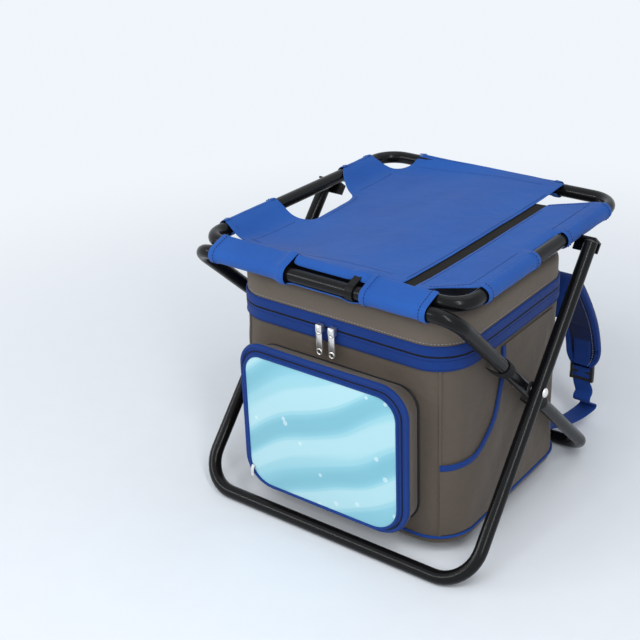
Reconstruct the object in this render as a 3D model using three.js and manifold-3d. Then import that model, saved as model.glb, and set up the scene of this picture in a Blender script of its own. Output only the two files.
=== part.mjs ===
// Folding stool with a zipped cooler bag slung in its crossed tube legs.
// Millimetres, +Z up. X is to the right, -Y is the front with the pocket.
// The stool stands open on its two floor rails, with the seat resting on the rear legs.
import * as THREE from "three";
import { mergeVertices } from "three/addons/utils/BufferGeometryUtils.js";
import Module from "manifold-3d";

const wasm = await Module();
wasm.setup();

// Tubes and joints
const TUBE_RADIUS = 8;
const TUBE_WALL = 1.2;
const TUBE_SIDES = 16;
const BEND_STEPS = 5;
const GAP = 0.3;
const BUTT_GAP = 0.6;
const HINGE_GAP = 0.4;
const WASHER_THICKNESS = 1.9;

// Seat ring, inner legs and outer legs at tube centres; the legs are set from the ring.
const RING_HALF_WIDTH = 170.5;
const RING_HALF_DEPTH = 181;
const RING_HEIGHT = 332;
const RING_BEND = 26;
const RING_REAR_BEND = 32;
const INNER_BEND = 26;
const INNER_FOOT_BEND = 40;
const OUTER_FOOT_BEND = 44;
const INNER_SPREAD = 1;
const RAIL_GAP = 1;
const INNER_TOP_DROP = 6.5;
const INNER_FOOT_INSET = 47;
const OUTER_FOOT_LEAD = 15;
const OUTER_TOP_INSET = 113;
const OUTER_TOP_GAP = 4;
const INNER_HALF_WIDTH = RING_HALF_WIDTH + INNER_SPREAD;
const INNER_TOP_Y = -RING_HALF_DEPTH - 2 * TUBE_RADIUS - RAIL_GAP;
const INNER_TOP_Z = RING_HEIGHT - INNER_TOP_DROP;
const INNER_FOOT_Y = RING_HALF_DEPTH - INNER_FOOT_INSET;
const OUTER_HALF_WIDTH = INNER_HALF_WIDTH + 2 * TUBE_RADIUS + WASHER_THICKNESS + 2 * GAP;
const OUTER_FOOT_Y = -RING_HALF_DEPTH - OUTER_FOOT_LEAD;
const OUTER_TOP_Y = RING_HALF_DEPTH - OUTER_TOP_INSET;
const OUTER_TOP_Z = RING_HEIGHT - TUBE_RADIUS - OUTER_TOP_GAP;

// Pivots at the leg crossing
const BOLT_RADIUS = 2.6;
const BOLT_HEAD_RADIUS = 5.6;
const BOLT_HEAD_HEIGHT = 3.2;
const BOLT_NUT_RADIUS = 4.6;
const BOLT_NUT_LENGTH = 3.4;
const WASHER_RADIUS = 8.5;
const BOLT_SIDES = 20;
const DOME_STEPS = 4;

// End caps, stops and hinge clips
const CAP_LIP = 2.2;
const CAP_PLUG = 9;
const STOP_THICKNESS = 2.4;
const STOP_REACH = 8.6;
const STOP_LIP = 11;
const CLIP_WALL = 2.3;
const CLIP_WIDTH = 9;
const CLIP_SPREAD = 45;
const CLIP_SHIFT = 4;
const CLIP_LEFT_X = CLIP_SHIFT - CLIP_SPREAD;
const CLIP_RIGHT_X = CLIP_SHIFT + CLIP_SPREAD;

// Seat cloth
const SLEEVE_GAP = 0.5;
const CLOTH = 1.2;
const PANEL_THICKNESS = 3;
const FRONT_SLEEVE_MARGIN = 2.5;
const FRONT_WINDOW_REACH = 7;
const FRONT_WINDOW_DROP = 6;
const BACK_SLEEVE_MARGIN = 20.5;
const BACK_SLEEVE_STEP = 5;
const LEFT_FRONT_MARGIN = 7;
const LEFT_FRONT_LENGTH = 91;
const LEFT_REAR_MARGIN = 6;
const LEFT_REAR_LENGTH = 56;
const RIGHT_FRONT_MARGIN = 9;
const RIGHT_FRONT_LENGTH = 111;
const RIGHT_REAR_MARGIN = 5;
const RIGHT_REAR_LENGTH = 114;
const SLEEVE_STEPS = 7;
const STRIP_WIDTH = 57.5;
const SLOT_WIDTH = 14;
const STRIP_REAR_INSET = 73;
const DRAPE_DEPTH = 22;
const DRAPE_STEPS = 8;
const TAPE_LAP = 9;
const HEM_END = 3;

// Where the cloth's sleeves begin and end along the ring, clear of its bends
const frontSleeveHalf = INNER_HALF_WIDTH - INNER_BEND - FRONT_SLEEVE_MARGIN;
const frontStraight = RING_HALF_DEPTH - RING_BEND;
const rearStraight = RING_HALF_DEPTH - RING_REAR_BEND;
const STRIP_LEFT_X = RING_HALF_WIDTH - STRIP_WIDTH;
const PANEL_RIGHT_X = STRIP_LEFT_X - SLOT_WIDTH;
const STRIP_REAR_Y = RING_HALF_DEPTH - STRIP_REAR_INSET;
const clipReach = CLIP_WIDTH / 2 + SLEEVE_GAP;
const FRONT_SLEEVE = [-frontSleeveHalf, frontSleeveHalf];
const FRONT_WINDOW = [CLIP_LEFT_X - clipReach, CLIP_RIGHT_X + clipReach];
const BACK_SLEEVE = [
  RING_REAR_BEND + BACK_SLEEVE_MARGIN - RING_HALF_WIDTH,
  PANEL_RIGHT_X - BACK_SLEEVE_STEP,
];
const LEFT_WRAP_FRONT = spanFrom(LEFT_FRONT_MARGIN - frontStraight, LEFT_FRONT_LENGTH);
const LEFT_WRAP_REAR = spanTo(rearStraight - LEFT_REAR_MARGIN, LEFT_REAR_LENGTH);
const RIGHT_SLEEVE_FRONT = spanFrom(RIGHT_FRONT_MARGIN - frontStraight, RIGHT_FRONT_LENGTH);
const RIGHT_SLEEVE_REAR = spanTo(rearStraight - RIGHT_REAR_MARGIN, RIGHT_REAR_LENGTH);

function spanFrom(start, length) {
  return [start, start + length];
}

function spanTo(end, length) {
  return [end - length, end];
}

// Cooler bag, set from the frame round it
const BAG_SIDE_ROOM = 13;
const BAG_FRONT_ROOM = 15;
const BAG_REAR_ROOM = 22;
const BAG_CORNER = 46;
const BAG_FLOOR_Z = 19;
const BAG_WALL = 1.8;
const LINER_WALL = 4.5;
const LID_ROOM = 35;
const LID_HEIGHT = 29;
const LID_EDGE = 9;
const UPPER_TAPE_HEIGHT = 12;
const LOWER_TAPE_HEIGHT = 17;
const BAG_HALF_WIDTH = INNER_HALF_WIDTH - TUBE_RADIUS - BAG_SIDE_ROOM;
const BAG_FRONT_Y = BAG_FRONT_ROOM - RING_HALF_DEPTH;
const BAG_REAR_Y = INNER_FOOT_Y - TUBE_RADIUS - BAG_REAR_ROOM;
const LID_TOP_Z = RING_HEIGHT - LID_ROOM;
const BAND_HIGH_Z = LID_TOP_Z - LID_HEIGHT;
const ZIP_Z = BAND_HIGH_Z - UPPER_TAPE_HEIGHT;
const BAND_LOW_Z = ZIP_Z - LOWER_TAPE_HEIGHT;
const BAND_THICKNESS = 1.4;
const ZIP_TEETH_HEIGHT = 2.6;
const ZIP_TEETH_PROUD = 1.1;
const PIPING_HEIGHT = 2.6;
const PIPING_PROUD = 1.5;
const CORNER_STEPS = 6;

// Cloth edges turn in over this many wall thicknesses.
const TURN_WALLS = 3;
const LID_TURN_SHARE = 1 / 3;

// Front pocket, which flares towards its face
const POCKET_SIDE_INSET = 43;
const POCKET_TOP_INSET = 27;
const POCKET_DEPTH = 29;
const POCKET_SIDE_FLARE = 7;
const POCKET_LOW_FLARE = 8;
const POCKET_HIGH_FLARE = 14;
const POCKET_BASE_LOW = 44;
const POCKET_CORNER = 22;
const POCKET_BASE_HALF = BAG_HALF_WIDTH - POCKET_SIDE_INSET;
const POCKET_BASE_HIGH = BAND_LOW_Z - POCKET_TOP_INSET;
const POCKET_FACE_Y = BAG_FRONT_Y - POCKET_DEPTH;
const POCKET_FACE_HALF = POCKET_BASE_HALF + POCKET_SIDE_FLARE;
const POCKET_FACE_LOW = POCKET_BASE_LOW - POCKET_LOW_FLARE;
const POCKET_FACE_HIGH = POCKET_BASE_HIGH + POCKET_HIGH_FLARE;
const POCKET_WALL = 2;
const POCKET_FLAP = 2.6;
const POCKET_BINDING = 5.5;
const POCKET_ZIP_BINDING = 14;
const POCKET_CORNER_STEPS = 4;

// Side slip pockets
const SIDE_POCKET_MARGIN = 2;
const SIDE_POCKET_LIFT = 14;
const SIDE_POCKET_TOP_INSET = 5;
const SIDE_POCKET_FRONT_Y = BAG_FRONT_Y + BAG_CORNER + SIDE_POCKET_MARGIN;
const SIDE_POCKET_REAR_Y = BAG_REAR_Y - BAG_CORNER - SIDE_POCKET_MARGIN;
const SIDE_POCKET_LOW_Z = BAG_FLOOR_Z + SIDE_POCKET_LIFT;
const SIDE_POCKET_HIGH_Z = BAND_LOW_Z - SIDE_POCKET_TOP_INSET;
const SIDE_MOUTH_LENGTH = 78;
const SIDE_MOUTH_HEIGHT = 122;
const SIDE_POCKET_CLOTH = 1.6;
const SIDE_POCKET_BINDING = 3;
const SIDE_POCKET_STEPS = 10;

// Zip sliders and pulls
const SLIDER_LEFT_X = -17;
const SLIDER_RIGHT_X = 0;
const SLIDER_WIDTH = 8;
const SLIDER_HEIGHT = 10;
const SLIDER_DEPTH = 3;
const SLIDER_EAR = 3.2;
const PULL_PIN = 0.9;
const PULL_WIDTH = 7;
const PULL_LENGTH = 30;
const PULL_THICKNESS = 1.6;
const PULL_BORE = 1.3;
const PULL_SLOT_HALF = 1.5;
const PULL_SLOT_START = 6;
const PULL_SLOT_LENGTH = 15;
const EAR_SHARE = 0.25;
const SHOULDER_SHARE = 0.8;

// Hanging loops that carry the bag on the inner legs
const LOOP_CLOTH = 0.9;
const LOOP_WIDTH = 24;
const LOOP_FRONT_DROP = 13.7;
const LOOP_PIVOT_DROP = 34.9;
const TONGUE_THICKNESS = 1.6;

// Shoulder straps at the back
const STRAP_INSET = 30;
const STRAP_WIDTH = 46;
const STRAP_THICKNESS = 9;
const STRAP_SPLAY = 9;
const STRAP_REACH = 87;
const STRAP_LOW_Z = 100;
const STRAP_TOP_INSET = 5;
const STRAP_X = BAG_HALF_WIDTH - STRAP_INSET;
const STRAP_HIGH_Z = BAND_LOW_Z + STRAP_TOP_INSET;
// Places along a strap: shares of its splay, of its reach from the bag and of its rise
const STRAP_SHARES = [
  [0, 0, 0.67],
  [0, 0.008, 0.81],
  [0, 0.09, 0.94],
  [0.15, 0.25, 0.98],
  [0.35, 0.43, 0.86],
  [0.6, 0.67, 0.64],
  [0.85, 0.87, 0.4],
  [1, 1, 0.17],
  [1, 0.99, 0],
];
const WEB_WIDTH = 25;
const WEB_THICKNESS = 1.6;
const WEB_SPLAY = 13;
const WEB_REACH = 94;
const WEB_DROP = 14;
// The same for the webbing below the buckle, down to the bag's foot
const WEB_SHARES = [
  [0.92, 0.92, 1],
  [1, 0.94, 0.75],
  [1, 1, 0.25],
  [0.9, 0.98, -0.2],
  [0.7, 0.82, -0.45],
  [0.45, 0.58, -0.42],
  [0.1, 0.35, -0.25],
  [-0.2, 0.14, -0.05],
  [-0.4, 0.02, 0.08],
  [-0.46, 0, 0.5],
];
const BUCKLE_WIDTH = 34;
const BUCKLE_HEIGHT = 24;
const BUCKLE_THICKNESS = 6;
const BUCKLE_SLOT = 5;
const BUCKLE_BAR = 4;

// Colours
const BLACK_PAINT = 0x0d0d0e;
const BLACK_PLASTIC = 0x17181a;
const STEEL = 0xc9cbce;
const BLUE = 0x1f4fb0;
const NAVY = 0x16244f;
const TAUPE = 0x645c54;
const LINER = 0xc8cccf;
const PALE_CORD = 0xa7a49d;
const PANEL_CYAN = 0x96dceb;

const stool = new THREE.Group();
stool.name = "folding_cooler_stool";

const looks = {
  paint: { color: BLACK_PAINT, roughness: 0.22, metalness: 0.0 },
  plastic: { color: BLACK_PLASTIC, roughness: 0.45, metalness: 0.0 },
  steel: { color: STEEL, roughness: 0.3, metalness: 1.0 },
  blue: { color: BLUE, roughness: 0.85, metalness: 0.0 },
  navy: { color: NAVY, roughness: 0.9, metalness: 0.0 },
  taupe: { color: TAUPE, roughness: 0.9, metalness: 0.0 },
  liner: { color: LINER, roughness: 0.4, metalness: 0.0 },
  cord: { color: PALE_CORD, roughness: 0.8, metalness: 0.0 },
  print: { color: PANEL_CYAN, roughness: 0.6, metalness: 0.0 },
};

function addPiece(name, geometry, look) {
  const material = new THREE.MeshStandardMaterial(looks[look]);
  const mesh = new THREE.Mesh(geometry, material);
  mesh.name = name;
  stool.add(mesh);
}

// Solids
function solid(geometry) {
  const plain = geometry.index ? geometry.toNonIndexed() : geometry.clone();
  plain.deleteAttribute("normal");
  plain.deleteAttribute("uv");
  const merged = mergeVertices(plain);
  return new wasm.Manifold(
    new wasm.Mesh({
      numProp: 3,
      vertProperties: new Float32Array(merged.attributes.position.array),
      triVerts: new Uint32Array(merged.index.array),
    }),
  );
}

function geometryOf(body) {
  const mesh = body.getMesh();
  const geometry = new THREE.BufferGeometry();
  const corners = new Float32Array(mesh.vertProperties);
  geometry.setAttribute("position", new THREE.BufferAttribute(corners, mesh.numProp));
  geometry.setIndex(new THREE.BufferAttribute(new Uint32Array(mesh.triVerts), 1));
  return geometry;
}

function joined(...geometries) {
  return geometryOf(geometries.map(solid).reduce((all, next) => all.add(next)));
}

function cut(geometry, ...tools) {
  return geometryOf(tools.map(solid).reduce((left, tool) => left.subtract(tool), solid(geometry)));
}

function box(low, high) {
  const size = high.map((value, axis) => value - low[axis]);
  const geometry = new THREE.BoxGeometry(...size);
  const middle = high.map((value, axis) => (value + low[axis]) / 2);
  return geometry.translate(...middle);
}

// A closed skin through rings of points, each ring with the same count, counter-clockwise
// when seen from the last ring.
function loft(rings) {
  const count = rings[0].length;
  const points = rings.flat();
  const centres = [rings[0], rings[rings.length - 1]].map((ring) =>
    ring.reduce((sum, point) => sum.add(point), new THREE.Vector3()).divideScalar(count),
  );
  const position = [...points, ...centres].flatMap((point) => point.toArray());
  const faces = [];
  for (let level = 0; level + 1 < rings.length; level += 1) {
    for (let side = 0; side < count; side += 1) {
      const next = (side + 1) % count;
      const a = level * count + side;
      const b = level * count + next;
      faces.push(a, b, b + count, a, b + count, a + count);
    }
  }
  const last = (rings.length - 1) * count;
  for (let side = 0; side < count; side += 1) {
    const next = (side + 1) % count;
    faces.push(points.length, next, side);
    faces.push(points.length + 1, last + side, last + next);
  }
  const geometry = new THREE.BufferGeometry();
  geometry.setAttribute("position", new THREE.Float32BufferAttribute(position, 3));
  geometry.setIndex(faces);
  return geometry;
}

// A tube follows stations with exact directions, so straights take one step.
class StationCurve extends THREE.Curve {
  constructor(points, directions) {
    super();
    this.points = points;
    this.directions = directions;
  }

  blend(list, t, target) {
    const place = t * (list.length - 1);
    const index = Math.min(Math.floor(place + Number.EPSILON * list.length), list.length - 2);
    return target.copy(list[index]).lerp(list[index + 1], place - index);
  }

  getPoint(t, target = new THREE.Vector3()) {
    return this.blend(this.points, t, target);
  }

  getPointAt(t, target = new THREE.Vector3()) {
    return this.getPoint(t, target);
  }

  getTangentAt(t, target = new THREE.Vector3()) {
    return this.blend(this.directions, t, target).normalize();
  }
}

// Corners with round bends, each as [point, radius]; the ends have no radius.
function bentRoute(corners) {
  const points = [corners[0][0].clone()];
  const directions = [corners[1][0].clone().sub(corners[0][0]).normalize()];
  for (let index = 1; index + 1 < corners.length; index += 1) {
    const [corner, radius] = corners[index];
    const inward = corner.clone().sub(corners[index - 1][0]).normalize();
    const outward = corners[index + 1][0].clone().sub(corner).normalize();
    const turn = inward.angleTo(outward);
    const start = corner.clone().addScaledVector(inward, -radius * Math.tan(turn / 2));
    const side = outward.clone().addScaledVector(inward, -Math.cos(turn)).normalize();
    for (let step = 0; step <= BEND_STEPS; step += 1) {
      const angle = (turn * step) / BEND_STEPS;
      const along = radius * Math.sin(angle);
      const across = radius * (1 - Math.cos(angle));
      points.push(start.clone().addScaledVector(inward, along).addScaledVector(side, across));
      const heading = inward.clone().multiplyScalar(Math.cos(angle));
      directions.push(heading.addScaledVector(side, Math.sin(angle)));
    }
  }
  points.push(corners[corners.length - 1][0].clone());
  directions.push(directions[directions.length - 1].clone());
  return new StationCurve(points, directions);
}

function circleShape(radius, sides) {
  const corners = [];
  for (let side = 0; side < sides; side += 1) {
    const angle = (2 * Math.PI * (side + 0.5)) / sides;
    corners.push(new THREE.Vector2(radius * Math.cos(angle), radius * Math.sin(angle)));
  }
  return new THREE.Shape(corners);
}

function tube(route) {
  const section = circleShape(TUBE_RADIUS, TUBE_SIDES);
  section.holes.push(circleShape(TUBE_RADIUS - TUBE_WALL, TUBE_SIDES));
  return new THREE.ExtrudeGeometry(section, {
    steps: route.points.length - 1,
    extrudePath: route,
    curveSegments: TUBE_SIDES,
  });
}

function rod(start, end, radius, sides) {
  const along = end.clone().sub(start);
  const geometry = new THREE.CylinderGeometry(radius, radius, along.length(), sides);
  const turn = new THREE.Quaternion().setFromUnitVectors(
    new THREE.Vector3(0, 1, 0),
    along.clone().normalize(),
  );
  geometry.applyQuaternion(turn);
  const middle = start.clone().add(end).divideScalar(2);
  return geometry.translate(middle.x, middle.y, middle.z);
}

// The leg lines cross at the pivot axis.
const outerFoot = new THREE.Vector2(OUTER_FOOT_Y, TUBE_RADIUS);
const outerTop = new THREE.Vector2(OUTER_TOP_Y, OUTER_TOP_Z);
const innerTop = new THREE.Vector2(INNER_TOP_Y, INNER_TOP_Z);
const innerFoot = new THREE.Vector2(INNER_FOOT_Y, TUBE_RADIUS);
const outerRise = outerTop.clone().sub(outerFoot);
const innerFall = innerFoot.clone().sub(innerTop);
const pivotShare =
  innerTop.clone().sub(outerFoot).cross(innerFall) / outerRise.cross(innerFall);
const pivot = outerFoot.clone().addScaledVector(outerRise, pivotShare);

function leg(x, place) {
  return new THREE.Vector3(x, place.x, place.y);
}

function placeOnInnerLeg(height) {
  return innerTop.clone().addScaledVector(innerFall, (height - innerTop.y) / innerFall.y);
}

// Inner frame: one loop whose ends butt in the middle of the rear floor rail
function innerFrame() {
  const half = INNER_HALF_WIDTH;
  const route = bentRoute([
    [leg(-BUTT_GAP / 2, innerFoot)],
    [leg(-half, innerFoot), INNER_FOOT_BEND],
    [leg(-half, innerTop), INNER_BEND],
    [leg(half, innerTop), INNER_BEND],
    [leg(half, innerFoot), INNER_FOOT_BEND],
    [leg(BUTT_GAP / 2, innerFoot)],
  ]);
  const bore = BOLT_RADIUS + GAP;
  const reach = half + 2 * TUBE_RADIUS;
  const drill = rod(leg(-reach, pivot), leg(reach, pivot), bore, BOLT_SIDES);
  return cut(tube(route), drill);
}

// Outer frame: a deep U whose open ends hold the seat
function outerFrame() {
  const half = OUTER_HALF_WIDTH;
  const route = bentRoute([
    [leg(-half, outerTop)],
    [leg(-half, outerFoot), OUTER_FOOT_BEND],
    [leg(half, outerFoot), OUTER_FOOT_BEND],
    [leg(half, outerTop)],
  ]);
  const bore = BOLT_RADIUS + GAP;
  const reach = half + 2 * TUBE_RADIUS;
  const drill = rod(leg(-reach, pivot), leg(reach, pivot), bore, BOLT_SIDES);
  return cut(tube(route), drill);
}

const legDirection = outerRise.clone().normalize();

function endCap(side) {
  const x = side * OUTER_HALF_WIDTH;
  const lipStart = outerTop.clone().addScaledVector(legDirection, GAP);
  const lipEnd = lipStart.clone().addScaledVector(legDirection, CAP_LIP);
  const plugEnd = outerTop.clone().addScaledVector(legDirection, -CAP_PLUG);
  const plugRadius = TUBE_RADIUS - TUBE_WALL - GAP - GAP;
  const lip = rod(leg(x, lipStart), leg(x, lipEnd), TUBE_RADIUS, TUBE_SIDES);
  const plugTop = lipStart.clone().addScaledVector(legDirection, GAP);
  const plug = rod(leg(x, plugEnd), leg(x, plugTop), plugRadius, TUBE_SIDES);
  return joined(lip, plug);
}

function pivotBolt(side) {
  const headSeat = OUTER_HALF_WIDTH + TUBE_RADIUS + GAP;
  const nutSeat = INNER_HALF_WIDTH - TUBE_RADIUS - GAP;
  const profile = [
    [0, nutSeat - BOLT_NUT_LENGTH],
    [BOLT_NUT_RADIUS, nutSeat - BOLT_NUT_LENGTH],
    [BOLT_NUT_RADIUS, nutSeat],
    [BOLT_RADIUS, nutSeat],
    [BOLT_RADIUS, headSeat],
    [BOLT_HEAD_RADIUS, headSeat],
  ];
  for (let step = 1; step <= DOME_STEPS; step += 1) {
    const angle = (Math.PI * step) / (2 * DOME_STEPS);
    const radius = step === DOME_STEPS ? 0 : BOLT_HEAD_RADIUS * Math.cos(angle);
    profile.push([radius, headSeat + BOLT_HEAD_HEIGHT * Math.sin(angle)]);
  }
  const outline = profile.map(([radius, height]) => new THREE.Vector2(radius, height));
  const geometry = new THREE.LatheGeometry(outline, BOLT_SIDES);
  geometry.rotateZ(-side * Math.PI / 2);
  return geometry.translate(0, pivot.x, pivot.y);
}

function pivotWasher(side) {
  const inner = INNER_HALF_WIDTH + TUBE_RADIUS + GAP;
  const outer = OUTER_HALF_WIDTH - TUBE_RADIUS - GAP;
  const bore = BOLT_RADIUS + GAP;
  const plate = rod(leg(side * inner, pivot), leg(side * outer, pivot), WASHER_RADIUS, BOLT_SIDES);
  const reach = outer + TUBE_RADIUS;
  const drill = rod(leg(side * (inner - GAP), pivot), leg(side * reach, pivot), bore, BOLT_SIDES);
  return cut(plate, drill);
}

// Turns a shape's x and y to the world's y and z, and its depth to run along x
function alongX(shape, from, to) {
  const geometry = new THREE.ExtrudeGeometry(shape, { depth: to - from, bevelEnabled: false });
  const turn = new THREE.Matrix4().makeBasis(
    new THREE.Vector3(0, 1, 0),
    new THREE.Vector3(0, 0, 1),
    new THREE.Vector3(1, 0, 0),
  );
  geometry.applyMatrix4(turn);
  return geometry.translate(from, 0, 0);
}

// Extrudes a shape drawn in x and z along y
function alongY(shape, from, to) {
  const geometry = new THREE.ExtrudeGeometry(shape, { depth: to - from, bevelEnabled: false });
  geometry.rotateX(Math.PI / 2);
  return geometry.translate(0, to, 0);
}

// The span from one distance to another on either side of the middle
function sideSpan(side, from, to) {
  return side > 0 ? [from, to] : [-to, -from];
}

// A stop under each side of the seat ring bears on the leg's cap and hooks behind it.
function seatStop(side) {
  const across = new THREE.Vector2(-legDirection.y, legDirection.x);
  const seat = outerTop.clone().addScaledVector(legDirection, CAP_LIP + 2 * GAP);
  const outerX = OUTER_HALF_WIDTH + TUBE_RADIUS;
  const innerX = RING_HALF_WIDTH - TUBE_RADIUS / 2;
  const lipSeat = TUBE_RADIUS + GAP;
  const outline = [
    [0, STOP_REACH],
    [STOP_THICKNESS, STOP_REACH],
    [STOP_THICKNESS, -lipSeat - STOP_THICKNESS],
    [-STOP_LIP, -lipSeat - STOP_THICKNESS],
    [-STOP_LIP, -lipSeat],
    [0, -lipSeat],
  ].map(([along, sideways]) =>
    seat.clone().addScaledVector(legDirection, along).addScaledVector(across, sideways),
  );
  const plate = alongX(new THREE.Shape(outline), ...sideSpan(side, innerX, outerX));
  return cut(plate, ringRod(TUBE_RADIUS + GAP));
}

function ringPoint(x, y) {
  return new THREE.Vector3(x, y, RING_HEIGHT);
}

// Seat ring: one loop whose ends butt inside the back sleeve
function ringRoute() {
  const half = RING_HALF_WIDTH;
  const deep = RING_HALF_DEPTH;
  return bentRoute([
    [ringPoint(BUTT_GAP / 2, deep)],
    [ringPoint(half, deep), RING_REAR_BEND],
    [ringPoint(half, -deep), RING_BEND],
    [ringPoint(-half, -deep), RING_BEND],
    [ringPoint(-half, deep), RING_REAR_BEND],
    [ringPoint(-BUTT_GAP / 2, deep)],
  ]);
}

function seatRing() {
  return tube(ringRoute());
}

// A solid rod along the ring, which cuts the room for the ring out of the stops
function ringRod(radius) {
  const route = ringRoute();
  return new THREE.ExtrudeGeometry(circleShape(radius, TUBE_SIDES), {
    steps: route.points.length - 1,
    extrudePath: route,
    curveSegments: TUBE_SIDES,
  });
}

// Outline round two tubes, as a belt of two half circles
function beltShape(first, second, radius, steps) {
  const heading = Math.atan2(second.y - first.y, second.x - first.x);
  const corners = [];
  [
    [second, heading - Math.PI / 2],
    [first, heading + Math.PI / 2],
  ].forEach(([centre, start]) => {
    for (let step = 0; step <= steps; step += 1) {
      const angle = start + (Math.PI * step) / steps;
      const reach = new THREE.Vector2(Math.cos(angle), Math.sin(angle));
      corners.push(centre.clone().addScaledVector(reach, radius));
    }
  });
  return corners;
}


const ringFront = new THREE.Vector2(-RING_HALF_DEPTH, RING_HEIGHT);

function hingeClip(x) {
  const outline = beltShape(innerTop, ringFront, TUBE_RADIUS + CLIP_WALL, SLEEVE_STEPS + 1);
  const shape = new THREE.Shape(outline);
  const railHole = circleShape(TUBE_RADIUS + HINGE_GAP, BOLT_SIDES);
  [innerTop, ringFront].forEach((centre) => {
    const hole = railHole.getPoints().map((point) => point.clone().add(centre));
    shape.holes.push(new THREE.Path(hole));
  });
  return alongX(shape, x - CLIP_WIDTH / 2, x + CLIP_WIDTH / 2);
}

// Seat cloth: the front sleeves take both front rails, the others take the ring alone.
const sleeveInner = TUBE_RADIUS + SLEEVE_GAP;
const sleeveOuter = sleeveInner + CLOTH;
const panelTop = RING_HEIGHT + sleeveOuter;
const panelBottom = panelTop - PANEL_THICKNESS;

function frontSleeve() {
  const shape = new THREE.Shape(beltShape(innerTop, ringFront, sleeveOuter, SLEEVE_STEPS));
  shape.holes.push(new THREE.Path(beltShape(innerTop, ringFront, sleeveInner, SLEEVE_STEPS)));
  const low = [FRONT_WINDOW[0], innerTop.x - 2 * sleeveOuter, innerTop.y - FRONT_WINDOW_DROP];
  const high = [FRONT_WINDOW[1], innerTop.x + FRONT_WINDOW_REACH, panelTop + sleeveOuter];
  return cut(alongX(shape, FRONT_SLEEVE[0], FRONT_SLEEVE[1]), box(low, high));
}

function sleeveShape(centre) {
  const outer = circleShape(sleeveOuter, 2 * SLEEVE_STEPS);
  const inner = circleShape(sleeveInner, 2 * SLEEVE_STEPS);
  const shape = new THREE.Shape(outer.getPoints().map((point) => point.clone().add(centre)));
  shape.holes.push(new THREE.Path(inner.getPoints().map((point) => point.clone().add(centre))));
  return shape;
}

function backSleeve(span) {
  return alongX(sleeveShape(new THREE.Vector2(RING_HALF_DEPTH, RING_HEIGHT)), span[0], span[1]);
}

function sideSleeve(side, span) {
  const shape = sleeveShape(new THREE.Vector2(side * RING_HALF_WIDTH, RING_HEIGHT));
  return alongY(shape, span[0], span[1]);
}

// A flat cloth panel drawn in x and y
function panel(corners, low, high) {
  const shape = new THREE.Shape(corners.map(([x, y]) => new THREE.Vector2(x, y)));
  const geometry = new THREE.ExtrudeGeometry(shape, { depth: high - low, bevelEnabled: false });
  return geometry.translate(0, 0, low);
}

// A hollow curve between two points that sags towards the panel's middle
function drape(from, to, depth) {
  const points = [];
  const across = [from[1] - to[1], to[0] - from[0]];
  const length = Math.hypot(across[0], across[1]);
  for (let step = 1; step < DRAPE_STEPS; step += 1) {
    const share = step / DRAPE_STEPS;
    const sag = (depth * Math.sin(Math.PI * share)) / length;
    const x = from[0] + (to[0] - from[0]) * share + across[0] * sag;
    const y = from[1] + (to[1] - from[1]) * share + across[1] * sag;
    points.push([x, y]);
  }
  return [from, ...points, to];
}

function mainPanel() {
  const frontY = -RING_HALF_DEPTH;
  const rearY = RING_HALF_DEPTH;
  const leftX = -RING_HALF_WIDTH;
  const outline = [
    [FRONT_SLEEVE[0], frontY],
    [PANEL_RIGHT_X, frontY],
    [PANEL_RIGHT_X, rearY - sleeveOuter - HEM_END],
    [BACK_SLEEVE[1], rearY],
    ...drape([BACK_SLEEVE[0], rearY], [leftX, LEFT_WRAP_REAR[1]], DRAPE_DEPTH / 2),
    ...drape([leftX, LEFT_WRAP_REAR[0]], [leftX, LEFT_WRAP_FRONT[1]], DRAPE_DEPTH),
    [leftX, LEFT_WRAP_FRONT[0]],
  ];
  const cloth = joined(
    panel(outline, panelBottom, panelTop),
    frontSleeve(),
    backSleeve(BACK_SLEEVE),
    sideSleeve(-1, LEFT_WRAP_FRONT),
    sideSleeve(-1, LEFT_WRAP_REAR),
  );
  return cut(cloth, sleeveBore(), clipSlot(CLIP_LEFT_X), clipSlot(CLIP_RIGHT_X));
}

// The cloth is slotted where a hinge clip takes both front rails.
function clipSlot(x) {
  const half = CLIP_WIDTH / 2 + SLEEVE_GAP;
  const reach = TUBE_RADIUS + CLIP_WALL + SLEEVE_GAP;
  const low = [x - half, innerTop.x - 2 * sleeveOuter, innerTop.y - 2 * sleeveOuter];
  const high = [x + half, ringFront.x + reach, ringFront.y + 2 * sleeveOuter];
  return box(low, high);
}

// The room that the ring and the front rail take inside the cloth
function sleeveBore() {
  const front = new THREE.Shape(beltShape(innerTop, ringFront, sleeveInner, SLEEVE_STEPS));
  const half = RING_HALF_WIDTH;
  const circle = circleShape(sleeveInner, 2 * SLEEVE_STEPS).getPoints();
  const at = (x, y) => new THREE.Shape(circle.map((point) => point.clone().add({ x, y })));
  const deep = RING_HALF_DEPTH;
  return joined(
    alongX(front, -half, half),
    alongX(at(deep, RING_HEIGHT), -half, half),
    alongY(at(-half, RING_HEIGHT), -deep, deep),
    alongY(at(half, RING_HEIGHT), -deep, deep),
  );
}

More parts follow.
